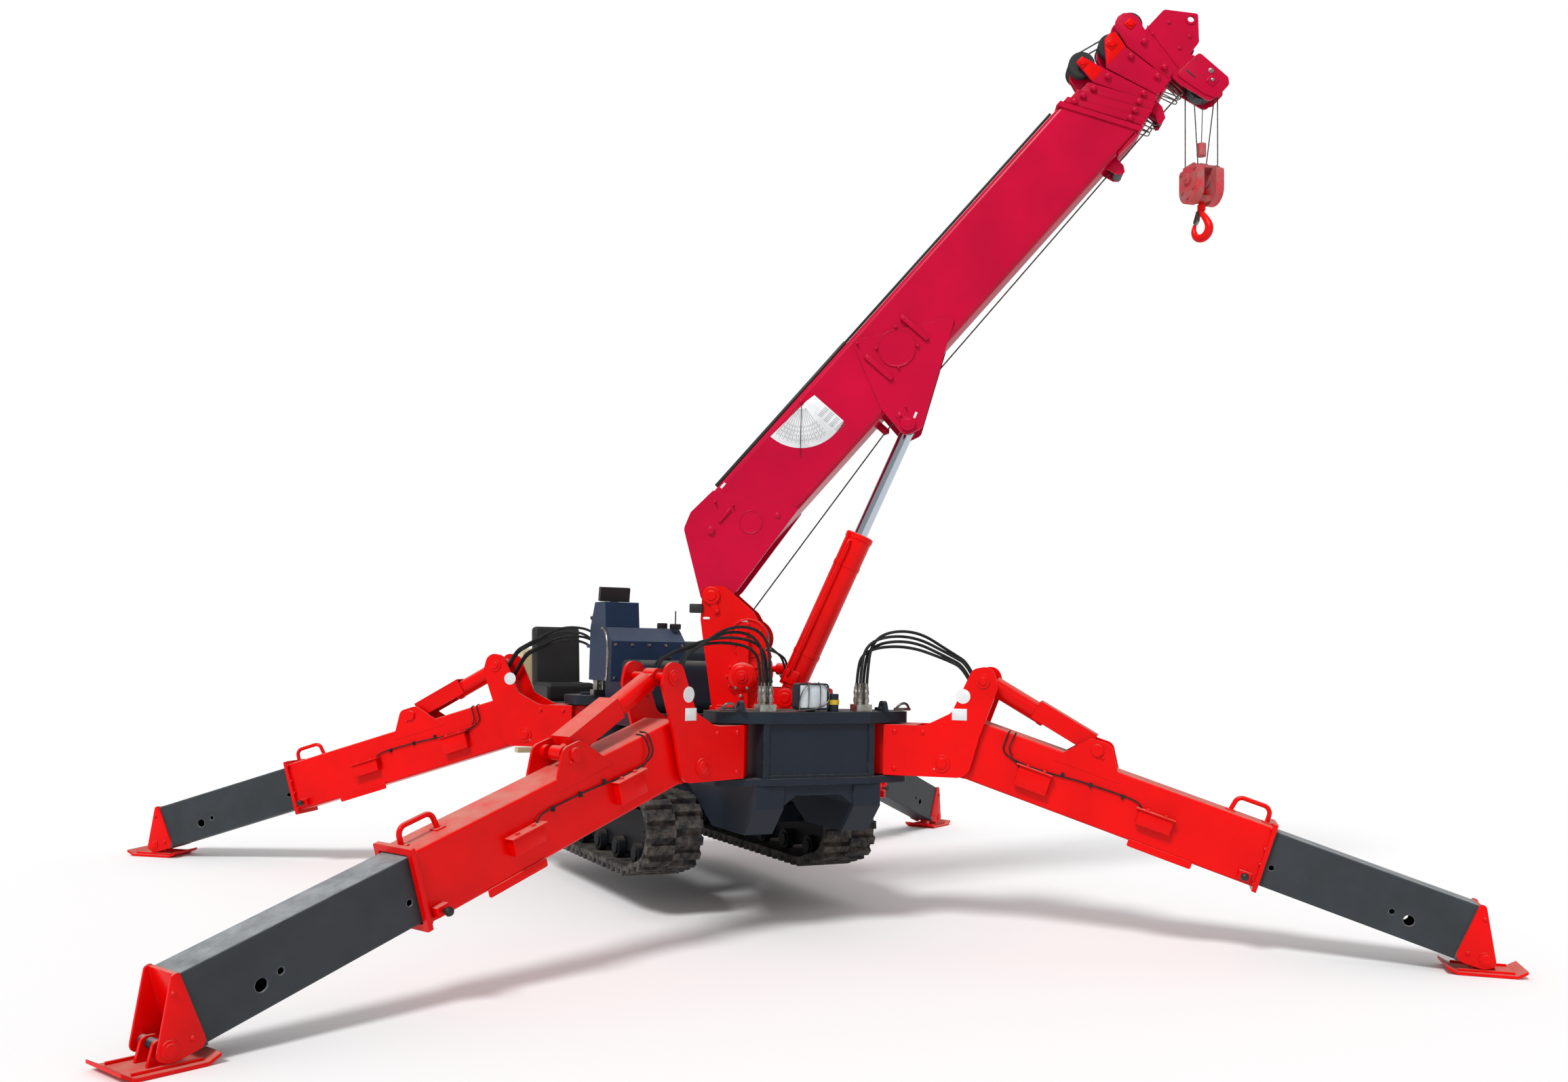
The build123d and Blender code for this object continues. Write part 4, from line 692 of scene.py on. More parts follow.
# The side plates: name, body, outer face from the middle, outline (x, z)
SECTION_PLATES = (
    ("boom_2", "boom_2", 0.1640, ((4.034, 0.466), (4.078, 0.466), (4.294, -0.018), (4.280, -0.036), (4.246, -0.036))),
    ("boom_3", "boom_3", 0.1490, ((4.087, 0.449), (4.166, 0.449), (4.352, -0.002), (4.334, -0.026), (4.302, -0.030))),
    (
        "boom_4_rear", "boom_4", 0.1340,
        ((4.165, 0.432), (4.252, 0.432), (4.260, 0.418), (4.426, 0.014), (4.404, -0.008), (4.380, -0.014)),
    ),
    (
        "boom_4_front", "boom_4", 0.1220,
        (
            (4.277, 0.408), (4.306, 0.571), (4.331, 0.588), (4.361, 0.575), (4.374, 0.549), (4.399, 0.402),
            (4.478, 0.042), (4.458, 0.012), (4.425, 0.013),
        ),
    ),
    (
        "boom_5", "boom_5", 0.1190,
        (
            (4.411, 0.408), (4.515, 0.515), (4.552, 0.548), (4.606, 0.550), (4.640, 0.525), (4.620, 0.455),
            (4.604, 0.401), (4.611, 0.052), (4.600, 0.030), (4.501, 0.024), (4.486, 0.040),
        ),
    ),
    (
        "boom_6", "boom_6", 0.1040,
        (
            (4.617, 0.400), (4.668, 0.548), (4.698, 0.576), (4.737, 0.586), (4.778, 0.574), (4.807, 0.540),
            (4.821, 0.482), (4.790, 0.412), (4.683, 0.054), (4.626, 0.040),
        ),
    ),
)
# Upper ends of the ears in brighter red: name, body, face from the middle, outline (x, z)
EAR_PAINT = (
    (
        "boom_4", "boom_4", 0.1222,
        ((4.283, 0.416), (4.308, 0.568), (4.331, 0.584), (4.359, 0.572), (4.371, 0.548), (4.385, 0.414)),
    ),
    (
        "boom_5", "boom_5", 0.1192,
        ((4.426, 0.413), (4.519, 0.514), (4.554, 0.544), (4.604, 0.546), (4.636, 0.524), (4.617, 0.455), (4.604, 0.408)),
    ),
)
# Pins of the ears: body, face from the middle, (x, z); radius of the sheave behind the cheeks
EAR_PINS = (
    ("boom_4", 0.1230, (4.334, 0.553), 0.088),
    ("boom_5", 0.1200, (4.556, 0.490), 0.084),
    ("boom_6", 0.1040, (4.750, 0.490), 0.084),
)
# Cap nuts: name, body, plate's face from the middle, (x, z) above and (x, z) below
CAP_NUTS = (
    ("boom_2", "boom_2", 0.1640, (4.077, 0.407), (4.229, 0.052)),
    ("boom_3", "boom_3", 0.1490, (4.150, 0.390), (4.293, 0.065)),
    ("boom_4_rear", "boom_4", 0.1340, (4.238, 0.373), (4.362, 0.084)),
    ("boom_4_front", "boom_4", 0.1220, (4.366, 0.358), (4.430, 0.100)),
    ("boom_5", "boom_5", 0.1190, (4.572, 0.333), (4.580, 0.108)),
    ("boom_6", "boom_6", 0.1040, (4.712, 0.335), (4.663, 0.117)),
)
CAP_NUT_PROFILE = (
    (0, 0), (0.025, 0), (0.025, 0.004), (0.021, 0.006), (0.021, 0.014), (0.019, 0.021), (0.014, 0.027),
    (0.007, 0.0295), (0, 0.030),
)


class CRANE_OT_boom_nuts(bpy.types.Operator):
    """The domed cap nuts that hold the boom's slide pads."""

    bl_idname = "crane.boom_nuts"
    bl_label = "Boom nuts"

    def execute(self, context):
        cap = turned("cap_nut", AS_IT_IS, CAP_NUT_PROFILE, 24)
        for name, body, out, above, below in CAP_NUTS:
            nuts = []
            for way in SIDES:
                for x, z in (above, below):
                    nuts.append(copied("nut", cap, BOOM @ Matrix.Translation((x, way * out, z)) @ facing(way)))
            fit(f"{name}_cap_nuts", nuts, body, "boom_red")
        bpy.data.objects.remove(cap)
        return {"FINISHED"}


class CRANE_OT_section_plates(bpy.types.Operator):
    """Side plates at the boom sections' ends, their ears with pins, and the dark sheaves between."""

    bl_idname = "crane.section_plates"
    bl_label = "Section plates"

    def execute(self, context):
        for name, body, out, outline in SECTION_PLATES:
            shape = rounded(outline, 0.010)
            sides = []
            for way in SIDES:
                sides.append(side_plate("side", BOOM, shape, way, out - SIDE_PLATE, out, 0.0015))
            fit(f"{name}_end_plates", sides, body, "boom_red")
        for name, body, out, outline in EAR_PAINT:
            shape = rounded(outline, 0.008)
            sides = []
            for way in SIDES:
                sides.append(side_plate("side", BOOM, shape, way, out - 0.002, out + 0.0006, 0.0002))
            fit(f"{name}_ear_paint", sides, body, "leg_red")
        for body, out, (x, z), radius in EAR_PINS:
            heads = []
            wheels = []
            for way in SIDES:
                base = [(x + i * 0.030, z + k * 0.030) for i, k in ((-1, -1), (1, -1), (1, 1), (-1, 1))]
                heads.append(side_plate("pad", BOOM, rounded(base, 0.006), way, out, out + 0.007, 0.001))
                head = ((0, 0), (0.021, 0), (0.022, 0.003), (0.020, 0.010), (0.008, 0.011), (0, 0.011))
                heads.append(side_turned("pin", BOOM, x, z, way, out + 0.006, head, 28))
                rim = (
                    (0.020, -0.014), (radius - 0.004, -0.014), (radius, -0.011), (radius - 0.008, -0.004),
                    (radius - 0.008, 0.004), (radius, 0.011), (radius - 0.004, 0.014), (0.020, 0.014),
                )
                for y in (0.048, 0.080):
                    wheels.append(turned("wheel", BOOM @ Matrix.Translation((x, way * y, z)) @ TO_RIGHT, rim, 44))
            inner = out - SIDE_PLATE
            wheels.append(bar("axle", BOOM, (x, -inner, z), (x, inner, z), 0.021, 20, 0))
            fit(f"{body}_ear_pins", heads, body, "leg_red")
            fit(f"{body}_ear_sheaves", wheels, body, "black")
        # The hook-shaped bracket under the fourth section's end, with its rope roller
        arm = (
            (4.453, 0.026), (4.478, 0.014), (4.470, -0.044), (4.426, -0.109), (4.377, -0.118), (4.362, -0.104),
            (4.379, -0.062), (4.397, -0.049), (4.400, -0.003), (4.419, 0.010),
        )
        arms = []
        for way in SIDES:
            arms.append(side_plate("arm", BOOM, rounded(arm, 0.006), way, 0.052, 0.062, 0.0015))
        arms.append(block("foot", BOOM, (4.395, -0.100, 0.000), (4.470, 0.100, 0.012), 0.002))
        fit("roller_bracket", arms, "boom_4", "boom_red")
        roller = bar("bracket_roller", BOOM, (4.404, -0.056, -0.090), (4.404, 0.056, -0.090), 0.019)
        dress(roller, "boom_4", "black")
        # The head plate's edge strip beside the last section's plate
        edge = ((4.813, 0.398), (4.823, 0.396), (4.738, 0.052), (4.728, 0.052))
        strips = []
        for way in SIDES:
            strips.append(side_plate("strip", BOOM, edge, way, 0.0865, 0.0920, 0.001))
        fit("head_edge_strips", strips, "boom_7", "boom_red")
        # Telescoping ropes between the ears
        thick = context.scene.crane_sizes.rope / 2
        for y in (-0.064, 0.064):
            start = BOOM @ Vector((4.350, y, 0.639))
            end = BOOM @ Vector((4.545, y, 0.573))
            rope = bar("ear_rope", AS_IT_IS, start, end, thick * 1.1, 12, 0)
            paint_with(rope, "rope")
            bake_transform(rope)
        return {"FINISHED"}


CHART_PIVOT = (1.361, 0.426)
CHART_RADIUS = 0.311
CHART_FACE = -0.1655
BOOM_SIDE = -0.165


class CRANE_OT_angle_chart(bpy.types.Operator):
    """The white angle chart on the boom's right side: a fan of plain lines with a plumb pointer."""

    bl_idname = "crane.angle_chart"
    bl_label = "Angle chart"

    def execute(self, context):
        x, z = CHART_PIVOT
        arc = []
        for step in range(25):
            turn = math.radians(180 + 107 * step / 24)
            arc.append((x + CHART_RADIUS * math.cos(turn), z + CHART_RADIUS * math.sin(turn)))
        outline = [*arc, (x + 0.091, z - 0.035), (x + 0.030, z - 0.022)]
        film = plate("angle_chart", BOOM, outline, BOOM_SIDE - 0.0015, BOOM_SIDE + 0.001, 0.0004)
        dress(film, "boom_base", "white")
        marks = []
        front = BOOM_SIDE - 0.0022
        for step in range(13):
            turn = math.radians(184 + 72 * step / 12)
            ends = [(x + r * math.cos(turn), front, z + r * math.sin(turn)) for r in (0.05, 0.278)]
            marks.append(bar("line", BOOM, *ends, 0.0009, 6, 0))
            for r in (0.17, 0.2, 0.23, 0.26):
                turn_mid = turn + math.radians(3)
                centre = Vector((x + r * math.cos(turn_mid), front, z + r * math.sin(turn_mid)))
                stroke = Vector((0.004, 0, 0.003))
                marks.append(bar("mark", BOOM, centre - stroke, centre + stroke, 0.0014, 6, 0))
        for row in range(7):
            for r in (0.10, 0.15, 0.20, 0.25):
                start = Vector((x + 0.010 + row * 0.011, front, z - 0.04 - r))
                marks.append(bar("mark", BOOM, start, start + Vector((0.002, 0, -0.032)), 0.0013, 6, 0))
        fit("angle_chart_marks", marks, "boom_base", "grey_print")
        knob = bolt("chart_knob", BOOM, (x, BOOM_SIDE, z), (0, -1, 0), 0.012, 0.016)
        dress(knob, "boom_base", "boom_red")
        down = BOOM.to_3x3().inverted() @ Vector((0, 0, -0.37))
        start = Vector((x, BOOM_SIDE - 0.012, z))
        pointer = bar("chart_pointer", BOOM, start, start + down, 0.0022, 8, 0)
        dress(pointer, "boom_base", "black")
        return {"FINISHED"}


class CRANE_OT_boom_fittings(bpy.types.Operator):
    """Covers, bars, bosses and studs on the boom's outer section."""

    bl_idname = "crane.boom_fittings"
    bl_label = "Boom fittings"

    def execute(self, context):
        red = []
        side = -0.179
        # The round cover between its two bars on the cylinder bracket
        turn = Matrix.Translation((2.047, side, 0.188)) @ TO_RIGHT
        ring = (
            (0, -0.002), (0.124, -0.002), (0.127, 0.001), (0.127, 0.007), (0.121, 0.008), (0.117, 0.004), (0, 0.003),
        )
        red.append(turned("cover", BOOM @ turn, ring, 64))
        for x, z in ((2.148, 0.287), (2.148, 0.090), (1.955, 0.090), (1.956, 0.288)):
            red.append(bar("lug", BOOM, (x, side, z), (x, side - 0.022, z), 0.008, 16))
            red.append(bolt("bolt", BOOM, (x, side, z), (0, -1, 0), 0.010, 0.014))
        for x in (2.226, 1.870):
            red.append(block("bar", BOOM, (x - 0.016, side - 0.022, 0.070), (x + 0.016, side + 0.001, 0.308), 0.004))
            for z in (0.281, 0.098):
                red.append(bar("socket", BOOM, (x, side - 0.021, z), (x, side - 0.024, z), 0.006, 12, 0))
        red.append(bar("stud", BOOM, (1.896, side, 0.405), (1.896, side - 0.03, 0.405), 0.009, 12))
        red.append(bar("nipple", BOOM, (1.791, side, -0.119), (1.791, side - 0.028, -0.119), 0.007, 10))
        # The luffing cylinder's upper pin with its keeper plate
        pin = ((0, 0), (0.046, 0), (0.048, 0.004), (0.048, 0.012), (0.03, 0.014), (0.027, 0.018), (0, 0.018))
        for way in SIDES:
            red.append(side_turned("pin", BOOM, 1.716, -0.205, way, 0.191, pin))
        outline = [(1.690, -0.205), (1.700, -0.110), (1.742, -0.110), (1.748, -0.205)]
        red.append(plate("keeper", BOOM, outline, side - 0.010, side, 0.002))
        red.append(bolt("bolt", BOOM, (1.722, side - 0.010, -0.132), (0, -1, 0), 0.011, 0.01))
        # The foot plates: round boss, latch and studs
        foot = -0.173
        boss = ((0, 0), (0.078, 0), (0.078, 0.004), (0.073, 0.005), (0.071, 0.002), (0, 0.002))
        for way in SIDES:
            red.append(side_turned("boss", BOOM, 0.536, 0.137, way, 0.173, boss, 48))
            red.append(bolt("bolt", BOOM, (0.687, way * 0.173, 0.033), (0, way, 0), 0.016, 0.011))
            red.append(bolt("bolt", BOOM, (0.317, way * 0.173, 0.298), (0, way, 0), 0.024, 0.022))
            for x, z in ((0.478, 0.405), (0.540, 0.300)):
                red.append(bar("stud", BOOM, (x, way * 0.173, z), (x, way * 0.205, z), 0.008, 12))
        red.append(block("latch", BOOM, (0.395, foot - 0.016, 0.288), (0.512, foot, 0.308), 0.003))
        fit("boom_fittings", red, "boom_base", "boom_red")
        # Conduit along the top edge
        tubes = [bar("conduit", BOOM, (0.56, -0.118, 0.482), (1.86, -0.118, 0.482), 0.014, 16)]
        tubes.append(bar("conduit", BOOM, (1.86, -0.118, 0.482), (3.93, -0.118, 0.482), 0.009, 16))
        fit("boom_conduit", tubes, "boom_base", "black")
        # Small reflectors
        plates = []
        for x, z, tilt in ((0.595, 0.443, 0), (1.792, -0.204, -18)):
            spot = Matrix.Translation((x, side if x > 1 else foot + 0.008, z))
            place = BOOM @ spot @ Matrix.Rotation(math.radians(tilt), 4, "Y")
            plates.append(block("reflector", place, (-0.022, -0.003, -0.008), (0.022, 0.001, 0.008), 0.004))
        fit("boom_reflectors", plates, "boom_base", "white")
        # Rope roller under the boom, near the outer end, and the rope's guide behind the bracket
        roller = ((0, -0.06), (0.030, -0.06), (0.034, -0.056), (0.034, 0.056), (0.030, 0.06), (0, 0.06))
        place = BOOM @ Matrix.Translation((3.954, 0, -0.115)) @ TO_RIGHT
        dress(turned("rope_roller", place, roller, 32), "boom_base", "black")
        arms = []
        for y in (-0.072, 0.072):
            arm = [(3.900, -0.04), (4.000, -0.04), (3.992, -0.115), (3.965, -0.150), (3.940, -0.150), (3.915, -0.120)]
            arms.append(plate("arm", BOOM, arm, y - 0.006, y + 0.006))
        wedge = [(4.000, -0.04), (4.185, -0.04), (4.185, -0.058), (4.140, -0.060), (4.000, -0.052)]
        arms.append(plate("wedge", BOOM, wedge, -0.16, 0.16))
        guide = [(1.590, -0.04), (1.640, -0.04), (1.640, -0.110), (1.620, -0.125), (1.590, -0.110)]
        arms.append(plate("guide", BOOM, guide, ROPE_ASIDE - 0.010, ROPE_ASIDE + 0.010))
        fit("rope_roller_arms", arms, "boom_base", "boom_red")
        return {"FINISHED"}


# Rope guards of bent wire under the boom sections: body, and the (x, z) corners of each loop
ROPE_GUARDS = (
    ("boom_2", ((4.262, -0.020), (4.285, -0.088), (4.300, -0.096), (4.326, -0.085), (4.300, -0.010))),
    ("boom_3", ((4.335, -0.004), (4.350, -0.090), (4.368, -0.098), (4.382, -0.070), (4.372, 0.000))),
    ("boom_5", ((4.545, 0.045), (4.570, -0.082), (4.588, -0.092), (4.606, -0.080), (4.556, 0.045))),
    ("boom_6", ((4.628, 0.046), (4.632, -0.030), (4.612, -0.078), (4.632, -0.092), (4.652, -0.070), (4.650, 0.040))),
)


class CRANE_OT_rope_guards(bpy.types.Operator):
    """Loops of bent wire that keep the rope under the boom."""

    bl_idname = "crane.rope_guards"
    bl_label = "Rope guards"

    def execute(self, context):
        for body, corners in ROPE_GUARDS:
            loops = []
            for y in (-0.035, 0.035):
                points = [(x, y, z) for x, z in corners]
                loops.append(strand("loop", BOOM, points, 0.004)[0])
            fit(f"{body}_rope_guard", loops, body, "steel")
        return {"FINISHED"}


# Telescope joints in order, and where the rope passes from one section to the next
ROPE_STEPS = (
    ("boom_base", "boom_2", 4.230, 4.300),
    ("boom_2", "boom_3", 4.300, 4.370),
    ("boom_3", "boom_4", 4.370, 4.440),
    ("boom_4", "boom_5", 4.440, 4.510),
    ("boom_5", "boom_6", 4.510, 4.600),
    ("boom_6", "boom_7", 4.600, 4.700),
)
ROPE_UNDER = -0.068
# Beside the luffing cylinder, which the rope has to clear
ROPE_ASIDE = 0.118
# Falls: (forward, sideways) at the head sheaves, and in the turned hook block's own axes
FALLS = (
    ((-0.100, 0.034), (-0.079, -0.074)),
    ((-0.060, -0.034), (0.079, -0.074)),
    ((0.100, -0.034), (0.079, 0.074)),
    ((0.100, 0.034), (-0.079, 0.074)),
)


class CRANE_OT_ropes(bpy.types.Operator):
    """The hoist rope: wound on the drum, run under the boom and hung in four falls."""

    bl_idname = "crane.ropes"
    bl_label = "Ropes"

    def execute(self, context):
        thick = context.scene.crane_sizes.rope / 2
        drum = JOINTS["winch"]
        middle = COLUMN.inverted() @ Vector(drum["pos_m"])
        turns = []
        across = 0.150
        count = int(2 * across / (2 * thick))
        core = 0.110
        profile = [(core - 0.012, -across)]
        for n in range(count):
            y = -across + (n + 0.5) * 2 * across / count
            for step in (-0.8, -0.35, 0.35, 0.8):
                profile.append((core + thick * math.sqrt(1 - step * step), y + step * across / count))
        profile.append((core - 0.012, across))
        winding = turned("rope_winding", COLUMN @ Matrix.Translation(middle) @ TO_RIGHT, profile, 48)
        dress(winding, "winch_drum", "rope")
        top = COLUMN @ (middle + Vector((-0.112, ROPE_ASIDE, 0.04)))
        first = BOOM @ Vector((1.615, ROPE_ASIDE, -0.100))
        route = [top.lerp(first, n / 12) for n in range(13)]
        climb, _ = strand("rope_to_boom", AS_IT_IS, route, thick)
        paint_with(climb, "rope")
        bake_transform(climb)
        run = bar("rope_under_boom", BOOM, (1.615, ROPE_ASIDE, -0.100), (4.231, 0, ROPE_UNDER), thick, 12, 0)
        dress(run, "boom_base", "rope")
        for before, after, start, end in ROPE_STEPS:
            ends = [Vector((x, 0, ROPE_UNDER)) for x in (start, end)]
            piece = bar(f"rope_{after}", BOOM, *ends, thick, 12, 0)
            paint_with(piece, "rope")
            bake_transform(piece)
        for number, (above, below) in enumerate(FALLS, 1):
            start = TACKLE @ Vector((*above, 0))
            end = BLOCK @ Vector((*below, 0.040))
            route = [start.lerp(end, n / 8) for n in range(9)]
            piece, _ = strand(f"rope_fall_{number}", AS_IT_IS, route, thick * 0.8)
            paint_with(piece, "rope")
            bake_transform(piece)
        wire = bar("weight_wire", TACKLE, (0.010, 0, -0.100), (0, 0, -0.386), 0.003, 12, 0)
        dress(wire, "hook_fall", "rope")
        return {"FINISHED"}


# The black knob of a leg's lock pin: (radius, height)
LOCK_KNOB = (
    (0, 0), (0.010, 0), (0.011, 0.020), (0.020, 0.026), (0.024, 0.040), (0.019, 0.054), (0.008, 0.060), (0, 0.060),
)
# Sensor guards on a leg's side: x limits and z limits of the box, and x limits of its lid
LEG_GUARDS = (
    ((0.460, 0.665), (0.035, 0.160), (0.440, 0.672)),
    ((1.215, 1.425), (0.070, 0.160), (1.195, 1.435)),
)
LEG_SIDE = 0.125
# Sensor cables on a leg: (along, out from the side, up)
LEG_CABLES = (
    (
        (0.330, -0.060, 0.332), (0.332, 0.004, 0.336), (0.328, 0.014, 0.270), (0.326, 0.014, 0.215),
        (0.370, 0.012, 0.182), (0.480, 0.010, 0.168), (0.640, 0.010, 0.172), (0.800, 0.010, 0.190),
        (1.000, 0.010, 0.198), (1.170, 0.010, 0.200), (1.225, 0.014, 0.180), (1.245, 0.020, 0.140),
    ),
    ((0.400, 0.012, 0.176), (0.425, 0.016, 0.176), (0.455, 0.020, 0.150), (0.475, 0.024, 0.120)),
    (
        (0.370, -0.050, 0.332), (0.372, 0.008, 0.336), (0.366, 0.022, 0.280), (0.362, 0.022, 0.222),
        (0.400, 0.018, 0.194),
    ),
)
# The foot bracket's outline at the end of the sliding beam: (along, up)
FOOT_BRACKET = ((3.102, -0.031), (3.262, -0.026), (3.326, 0.013), (3.175, 0.320), (3.142, 0.320))


class CRANE_OT_leg_fittings(bpy.types.Operator):
    """Guards, sensor cables, lock knob, foot bracket, gland, pins and blank marks on each leg."""

    bl_idname = "crane.leg_fittings"
    bl_label = "Leg fittings"

    def execute(self, context):
        thick = context.scene.crane_sizes.cable / 2
        for leg in LEGS:
            out = FRONT_SIDE[leg]
            face = LEG_SIDE * out
            place = LEG[leg]
            red = []
            for x, z, lid in LEG_GUARDS:
                red.append(side_block("guard", place, face, out, 0.052, x, z, 0.004))
                red.append(side_block("lid", place, face, out, 0.066, lid, (z[1], z[1] + 0.008), 0.002))
                for at in (x[0] + 0.05, x[1] - 0.05):
                    red.append(bolt("bolt", place, (at, face + out * 0.034, z[1] + 0.008), (0, 0, 1), 0.011, 0.012))
            strip = rounded([(1.21, -0.078), (1.60, -0.078), (1.60, -0.034), (1.21, -0.034)], 0.012)
            red.append(plate("strip", place, strip, *sorted((face, face + out * 0.010)), 0.002))
            red.append(side_block("pin_bracket", place, face, out, 0.042, (1.860, 1.935), (-0.022, 0.030), 0.004))
            for x in (1.715, 1.935):
                red.append(block("foot", place, (x - 0.03, -0.03, 0.325), (x + 0.03, 0.03, 0.336), 0.003))
            for y in (-0.138, 0.138):
                for z in (-0.030, 0.095, 0.190, 0.314):
                    red.append(bolt("bolt", place, (1.963, y, z), (-1, 0, 0), 0.010, 0.009))
            for way in SIDES:
                pin = ((0, 0), (0.036, 0), (0.038, 0.003), (0.036, 0.007), (0.020, 0.008), (0, 0.008))
                red.append(side_turned("pin", place, 0.873, 0.405, way, 0.135, pin, 28))
                red.append(bolt("bolt", place, (0.915, way * 0.127, 0.372), (0, way, 0), 0.009, 0.009))
            fit(f"leg_guards_{leg}", red, f"outer_leg_{leg}", "leg_red")
            knob = side_turned(f"lock_knob_{leg}", place, 1.897, 0.004, out, LEG_SIDE + 0.042, LOCK_KNOB, 24)
            dress(knob, f"outer_leg_{leg}", "black")
            lines = []
            for route in LEG_CABLES:
                points = [(x, face + out * y, z) for x, y, z in route]
                lines.append(strand("cable", place, points, thick)[0])
            for x in (0.72, 0.90, 1.10):
                width = (x - 0.008, x + 0.008)
                lines.append(side_block("clip", place, face, out, 0.017, width, (0.178, 0.206), 0.002))
            fit(f"leg_cable_{leg}", lines, f"outer_leg_{leg}", "hose")
            # The red bracket that carries the foot
            red = []
            for way in SIDES:
                red.append(side_plate("cheek", place, rounded(FOOT_BRACKET, 0.045), way, 0.1065, 0.1200))
                boss = ((0, 0), (0.040, 0), (0.040, 0.005), (0.026, 0.008), (0.025, 0.011), (0, 0.011))
                red.append(side_turned("boss", place, 3.260, 0.034, way, 0.120, boss, 28))
                red.append(bolt("bolt", place, (3.190, way * 0.120, 0.245), (0, way, 0), 0.010, 0.009))
                red.append(bolt("bolt", place, (3.160, way * 0.120, 0.030), (0, way, 0), 0.010, 0.009))
            red.append(block("end_plate", place, (3.142, -0.108, -0.030), (3.1605, 0.108, 0.314), 0.002))
            fit(f"foot_bracket_{leg}", red, f"inner_leg_{leg}", "leg_red")
            # Two ribs on the pad
            ribs = []
            low, high = (Vector(corner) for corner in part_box(f"pad_{leg}"))
            ground = frame_at(flat((low + high) / 2), flat(axis_of(f"leg_reach_{leg}")))
            for y in (-0.110, 0.110):
                ribs.append(block("rib", ground, (-0.150, y - 0.006, 0.015), (0.150, y + 0.006, 0.030), 0.002))
            fit(f"pad_ribs_{leg}", ribs, f"pad_{leg}", "leg_red")
            # The lift cylinder's gland
            gland = ((0.033, 0.398), (0.0635, 0.398), (0.066, 0.402), (0.066, 0.432), (0.060, 0.438), (0.033, 0.438))
            ring = turned(f"leg_gland_{leg}", LEG_CYLINDER[leg] @ TO_FRONT, gland, 32)
            dress(ring, f"leg_barrel_{leg}", "leg_red")
            # Knuckle: blank disc, plate and reflector, pins and bolts
            knuckle = KNUCKLE[leg]
            face = 0.170 * out
            disc = ((0, 0), (0.046, 0), (0.046, 0.0015), (0.043, 0.002), (0, 0.002))
            marks = [side_turned("disc", knuckle, 0.552, 1.488, out, 0.170, disc, 48)]
            if leg != "rear_left":
                marks.append(side_block("plate", knuckle, face, out, 0.0018, (0.484, 0.578), (1.338, 1.410), 0.0008))
            marks.append(side_block("reflector", knuckle, face, out, 0.004, (0.372, 0.418), (1.026, 1.042), 0.003))
            fit(f"knuckle_marks_{leg}", marks, f"knuckle_{leg}", "white")
            red = []
            for way in SIDES:
                for x, z, radius in ((0.420, 1.065, 0.034), (0.676, 1.585, 0.026)):
                    head = ((0, -0.002), (radius, -0.002), (radius, 0.001), (radius - 0.004, 0.003), (0, 0.003))
                    red.append(side_turned("pin", knuckle, x, z, way, 0.182, head, 28))
                for x, z in ((0.120, 1.255), (0.120, 1.022), (0.300, 1.255)):
                    red.append(bolt("bolt", knuckle, (x, way * 0.170, z), (0, way, 0), 0.012, 0.010))
            fit(f"knuckle_pins_{leg}", red, f"knuckle_{leg}", "leg_red")
        return {"FINISHED"}


# Where each leg's coupling block stands on the frame
HOSE_BASES = {
    "front_left": (-0.060, -0.355, 1.421),
    "front_right": (-0.060, 0.320, 1.421),
    "rear_left": (-2.440, -0.600, 1.421),
    "rear_right": (-2.180, 0.520, 1.345),
}
COUPLING_PROFILE = (
    (0, 0), (0.0148, 0), (0.0148, 0.012), (0.018, 0.014), (0.018, 0.040), (0.0148, 0.043), (0.0148, 0.060),
    (0.0175, 0.062), (0.0175, 0.084), (0.0148, 0.088), (0.0148, 0.1115), (0.0100, 0.1125), (0.0100, 0.132),
    (0, 0.132),
)
# The four hoses of a leg: coupling's (x, y) from the block's middle, and where they reach the knuckle sideways
HOSE_ROWS = ((-0.022, -0.024, -0.115), (-0.022, 0.024, -0.082), (0.022, -0.024, 0.082), (0.022, 0.024, 0.115))


class CRANE_OT_hoses(bpy.types.Operator):
    """Quick couplings on their blocks and the hoses that arch to each leg."""

    bl_idname = "crane.hoses"
    bl_label = "Hoses"

    def execute(self, context):
        thick = context.scene.crane_sizes.hose
        coupling = turned("coupling", AS_IT_IS, COUPLING_PROFILE, 16)
        for leg, base in HOSE_BASES.items():
            base = Vector(base)
            fittings = []
            inward = KNUCKLE[leg]
            for number, (dx, dy, sideways) in enumerate(HOSE_ROWS, 1):
                foot = base + Vector((dx, dy, 0))
                fittings.append(copied("coupling", coupling, MACHINE @ Matrix.Translation(foot)))
                start = MACHINE @ (foot + Vector((0, 0, 0.02)))
                row = number - 2.5
                end = inward @ Vector((0.640, sideways, 1.470))
                entry = inward @ Vector((0.560, sideways, 1.670 + 0.010 * row))
                lift = 0.21 + 0.030 * row
                points = [
                    start,
                    start + Vector((0, 0, 0.150)),
                    start.lerp(entry, 0.05) + Vector((0, 0, 0.150 + lift)),
                    start.lerp(entry, 0.45) + Vector((0, 0, 0.100 + lift)),
                    inward @ Vector((0.440, sideways, 1.735 + 0.014 * row)),
                    entry,
                    end,
                ]
                piece, path = strand(f"leg_hose_{leg}_{number}", AS_IT_IS, points, thick / 2, True, 4)
                paint_with(piece, "hose")
                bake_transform(piece)
            fit(f"couplings_{leg}", fittings, "chassis", "zinc")
        bpy.data.objects.remove(coupling)
        return {"FINISHED"}


